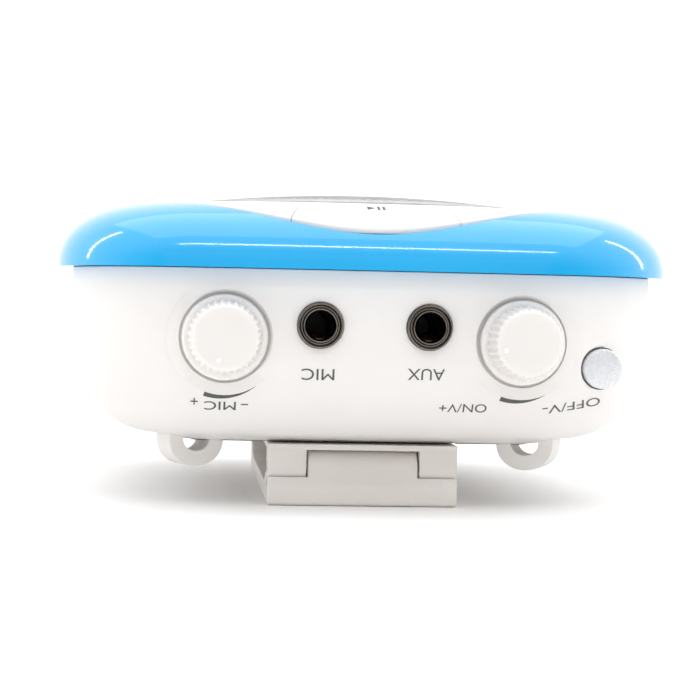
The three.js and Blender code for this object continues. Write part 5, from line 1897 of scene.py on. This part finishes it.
# ---------------------------------------------------------------------------
# Floor, light and camera
# ---------------------------------------------------------------------------
@dataclass
class Studio:
    """Plain white floor, soft light and the camera."""

    eye: Triple = (-0.0253, -0.300, 0.0271)
    yaw: float = 5.03
    pitch: float = 1.22
    roll: float = 1.2
    lens: float = 99.0

    def camera(self) -> None:
        """Places the camera."""
        data = bpy.data.cameras.new("camera")
        data.lens = self.lens
        data.sensor_width = 36.0
        data.clip_start, data.clip_end = 0.01, 50.0
        made = bpy.data.objects.new("camera", data)
        heading = Matrix.Rotation(math.radians(-self.yaw), 4, "Z")
        nod = Matrix.Rotation(math.radians(90 - self.pitch), 4, "X")
        bank = Matrix.Rotation(math.radians(self.roll), 4, "Z")
        made.matrix_world = Matrix.Translation(self.eye) @ heading @ nod @ bank
        bpy.context.scene.collection.objects.link(made)
        bpy.context.scene.camera = made

    def softbox(self, name: str, place: Triple, aim: Triple,
                size: tuple[float, float], power: float) -> None:
        """Adds a rectangular area light.

        Args:
            name: the light's name.
            place: its centre in metres.
            aim: the point that it faces.
            size: its width and height.
            power: in watts.
        """
        data = bpy.data.lights.new(name, "AREA")
        data.shape = "RECTANGLE"
        data.size, data.size_y = size
        data.energy = power
        made = bpy.data.objects.new(name, data)
        ahead = Vector(aim) - Vector(place)
        made.matrix_world = Matrix.Translation(place) @ ahead.to_track_quat("-Z", "Y").to_matrix().to_4x4()
        bpy.context.scene.collection.objects.link(made)

    def floor(self) -> None:
        """Adds the white floor."""
        mesh = bmesh.new()
        bmesh.ops.create_grid(mesh, x_segments=8, y_segments=8, size=6000.0)
        bmesh.ops.translate(mesh, verts=mesh.verts, vec=(0, 0, -0.05))
        floor = object_of("floor", mesh)
        made, graph, shader = blank_material("white_sweep")
        tone = graph.mix(graph.noise(8.0, 3.0), opaque((0.95, 0.95, 0.95)), opaque((0.97, 0.97, 0.97)))
        graph.feed(shader, Base_Color=tone, Roughness=0.55)
        floor.data.materials.append(made)

    def world(self) -> None:
        """White surround, dimmer in front of the knob end."""
        scene = bpy.context.scene
        scene.world = bpy.data.worlds.new("surround")
        scene.world.use_nodes = True
        graph = Graph(scene.world.node_tree)
        ground = scene.world.node_tree.nodes["Background"]
        direction = graph.add("NodeTexCoord").outputs["Generated"]
        facing = graph.add("NodeVectorMath", {"operation": "DOT_PRODUCT"}, i0=direction, i1=(0.0, 0.75, 0.66))
        level = graph.ramp(facing.outputs["Value"], -0.75, 0.3, 0.2, 1.2)
        seen = graph.add("NodeLightPath").outputs["Is Camera Ray"]
        level = graph.maths("MAXIMUM", level, seen)
        tint = graph.add("NodeCombineColor", Red=level, Green=level, Blue=level)
        graph.feed(ground, Color=tint.outputs[0], Strength=1.0)

    def build(self) -> None:
        """Builds the whole studio."""
        self.camera()
        self.floor()
        self.world()
        self.softbox("overhead", (0.0, 0.05, 0.9), (0.0, 0.0, 0.02), (1.2, 1.0), 2.9)
        self.softbox("strip", (0.0, -0.42, 0.42), (0.0, -0.05, 0.03), (0.42, 0.012), 0.35)
        for side in (-1, 1):
            place, aim = (0.58 * side, 0.10, 0.34), (0.03 * side, -0.03, 0.035)
            self.softbox("side_strip", place, aim, (0.024, 0.5), 0.55)
        self.softbox("fill", (-0.1, -0.9, 0.25), (0.0, -0.05, 0.02), (0.9, 0.4), 0.25)
        scene = bpy.context.scene
        scene.view_settings.view_transform = "Standard"
        scene.view_settings.look = "None"


def main() -> None:
    """Builds the studio and the amplifier."""
    logging.basicConfig(level=logging.INFO, format="%(name)s: %(message)s")
    Studio().build()
    palette = Palette(Effects())
    parts = [
        FrontCover(), RearCase(), ControlRing(), Grille(),
        Knob("mic", Body.MIC, -106.0, 3.0), Knob("power", Body.POWER, -163.0, 3.2), Jack("mic"), Jack("aux"),
        Aerial(), BeltClip(), StrapLug(-1, "left"), StrapLug(1, "right"),
        *[Screw(f"case_screw_{i}", f"pan_screw_{i}", 1.9, 1.5) for i in (1, 2, 3, 4)],
        *[Screw(f"bracket_screw_{use}", f"pan_screw_{use}", 2.0, 1.1) for use in ("left", "right")],
        Legends(), Fittings(), Works(),
    ]
    for part in parts:
        part.build(palette)


if __name__ == "__main__":
    main()
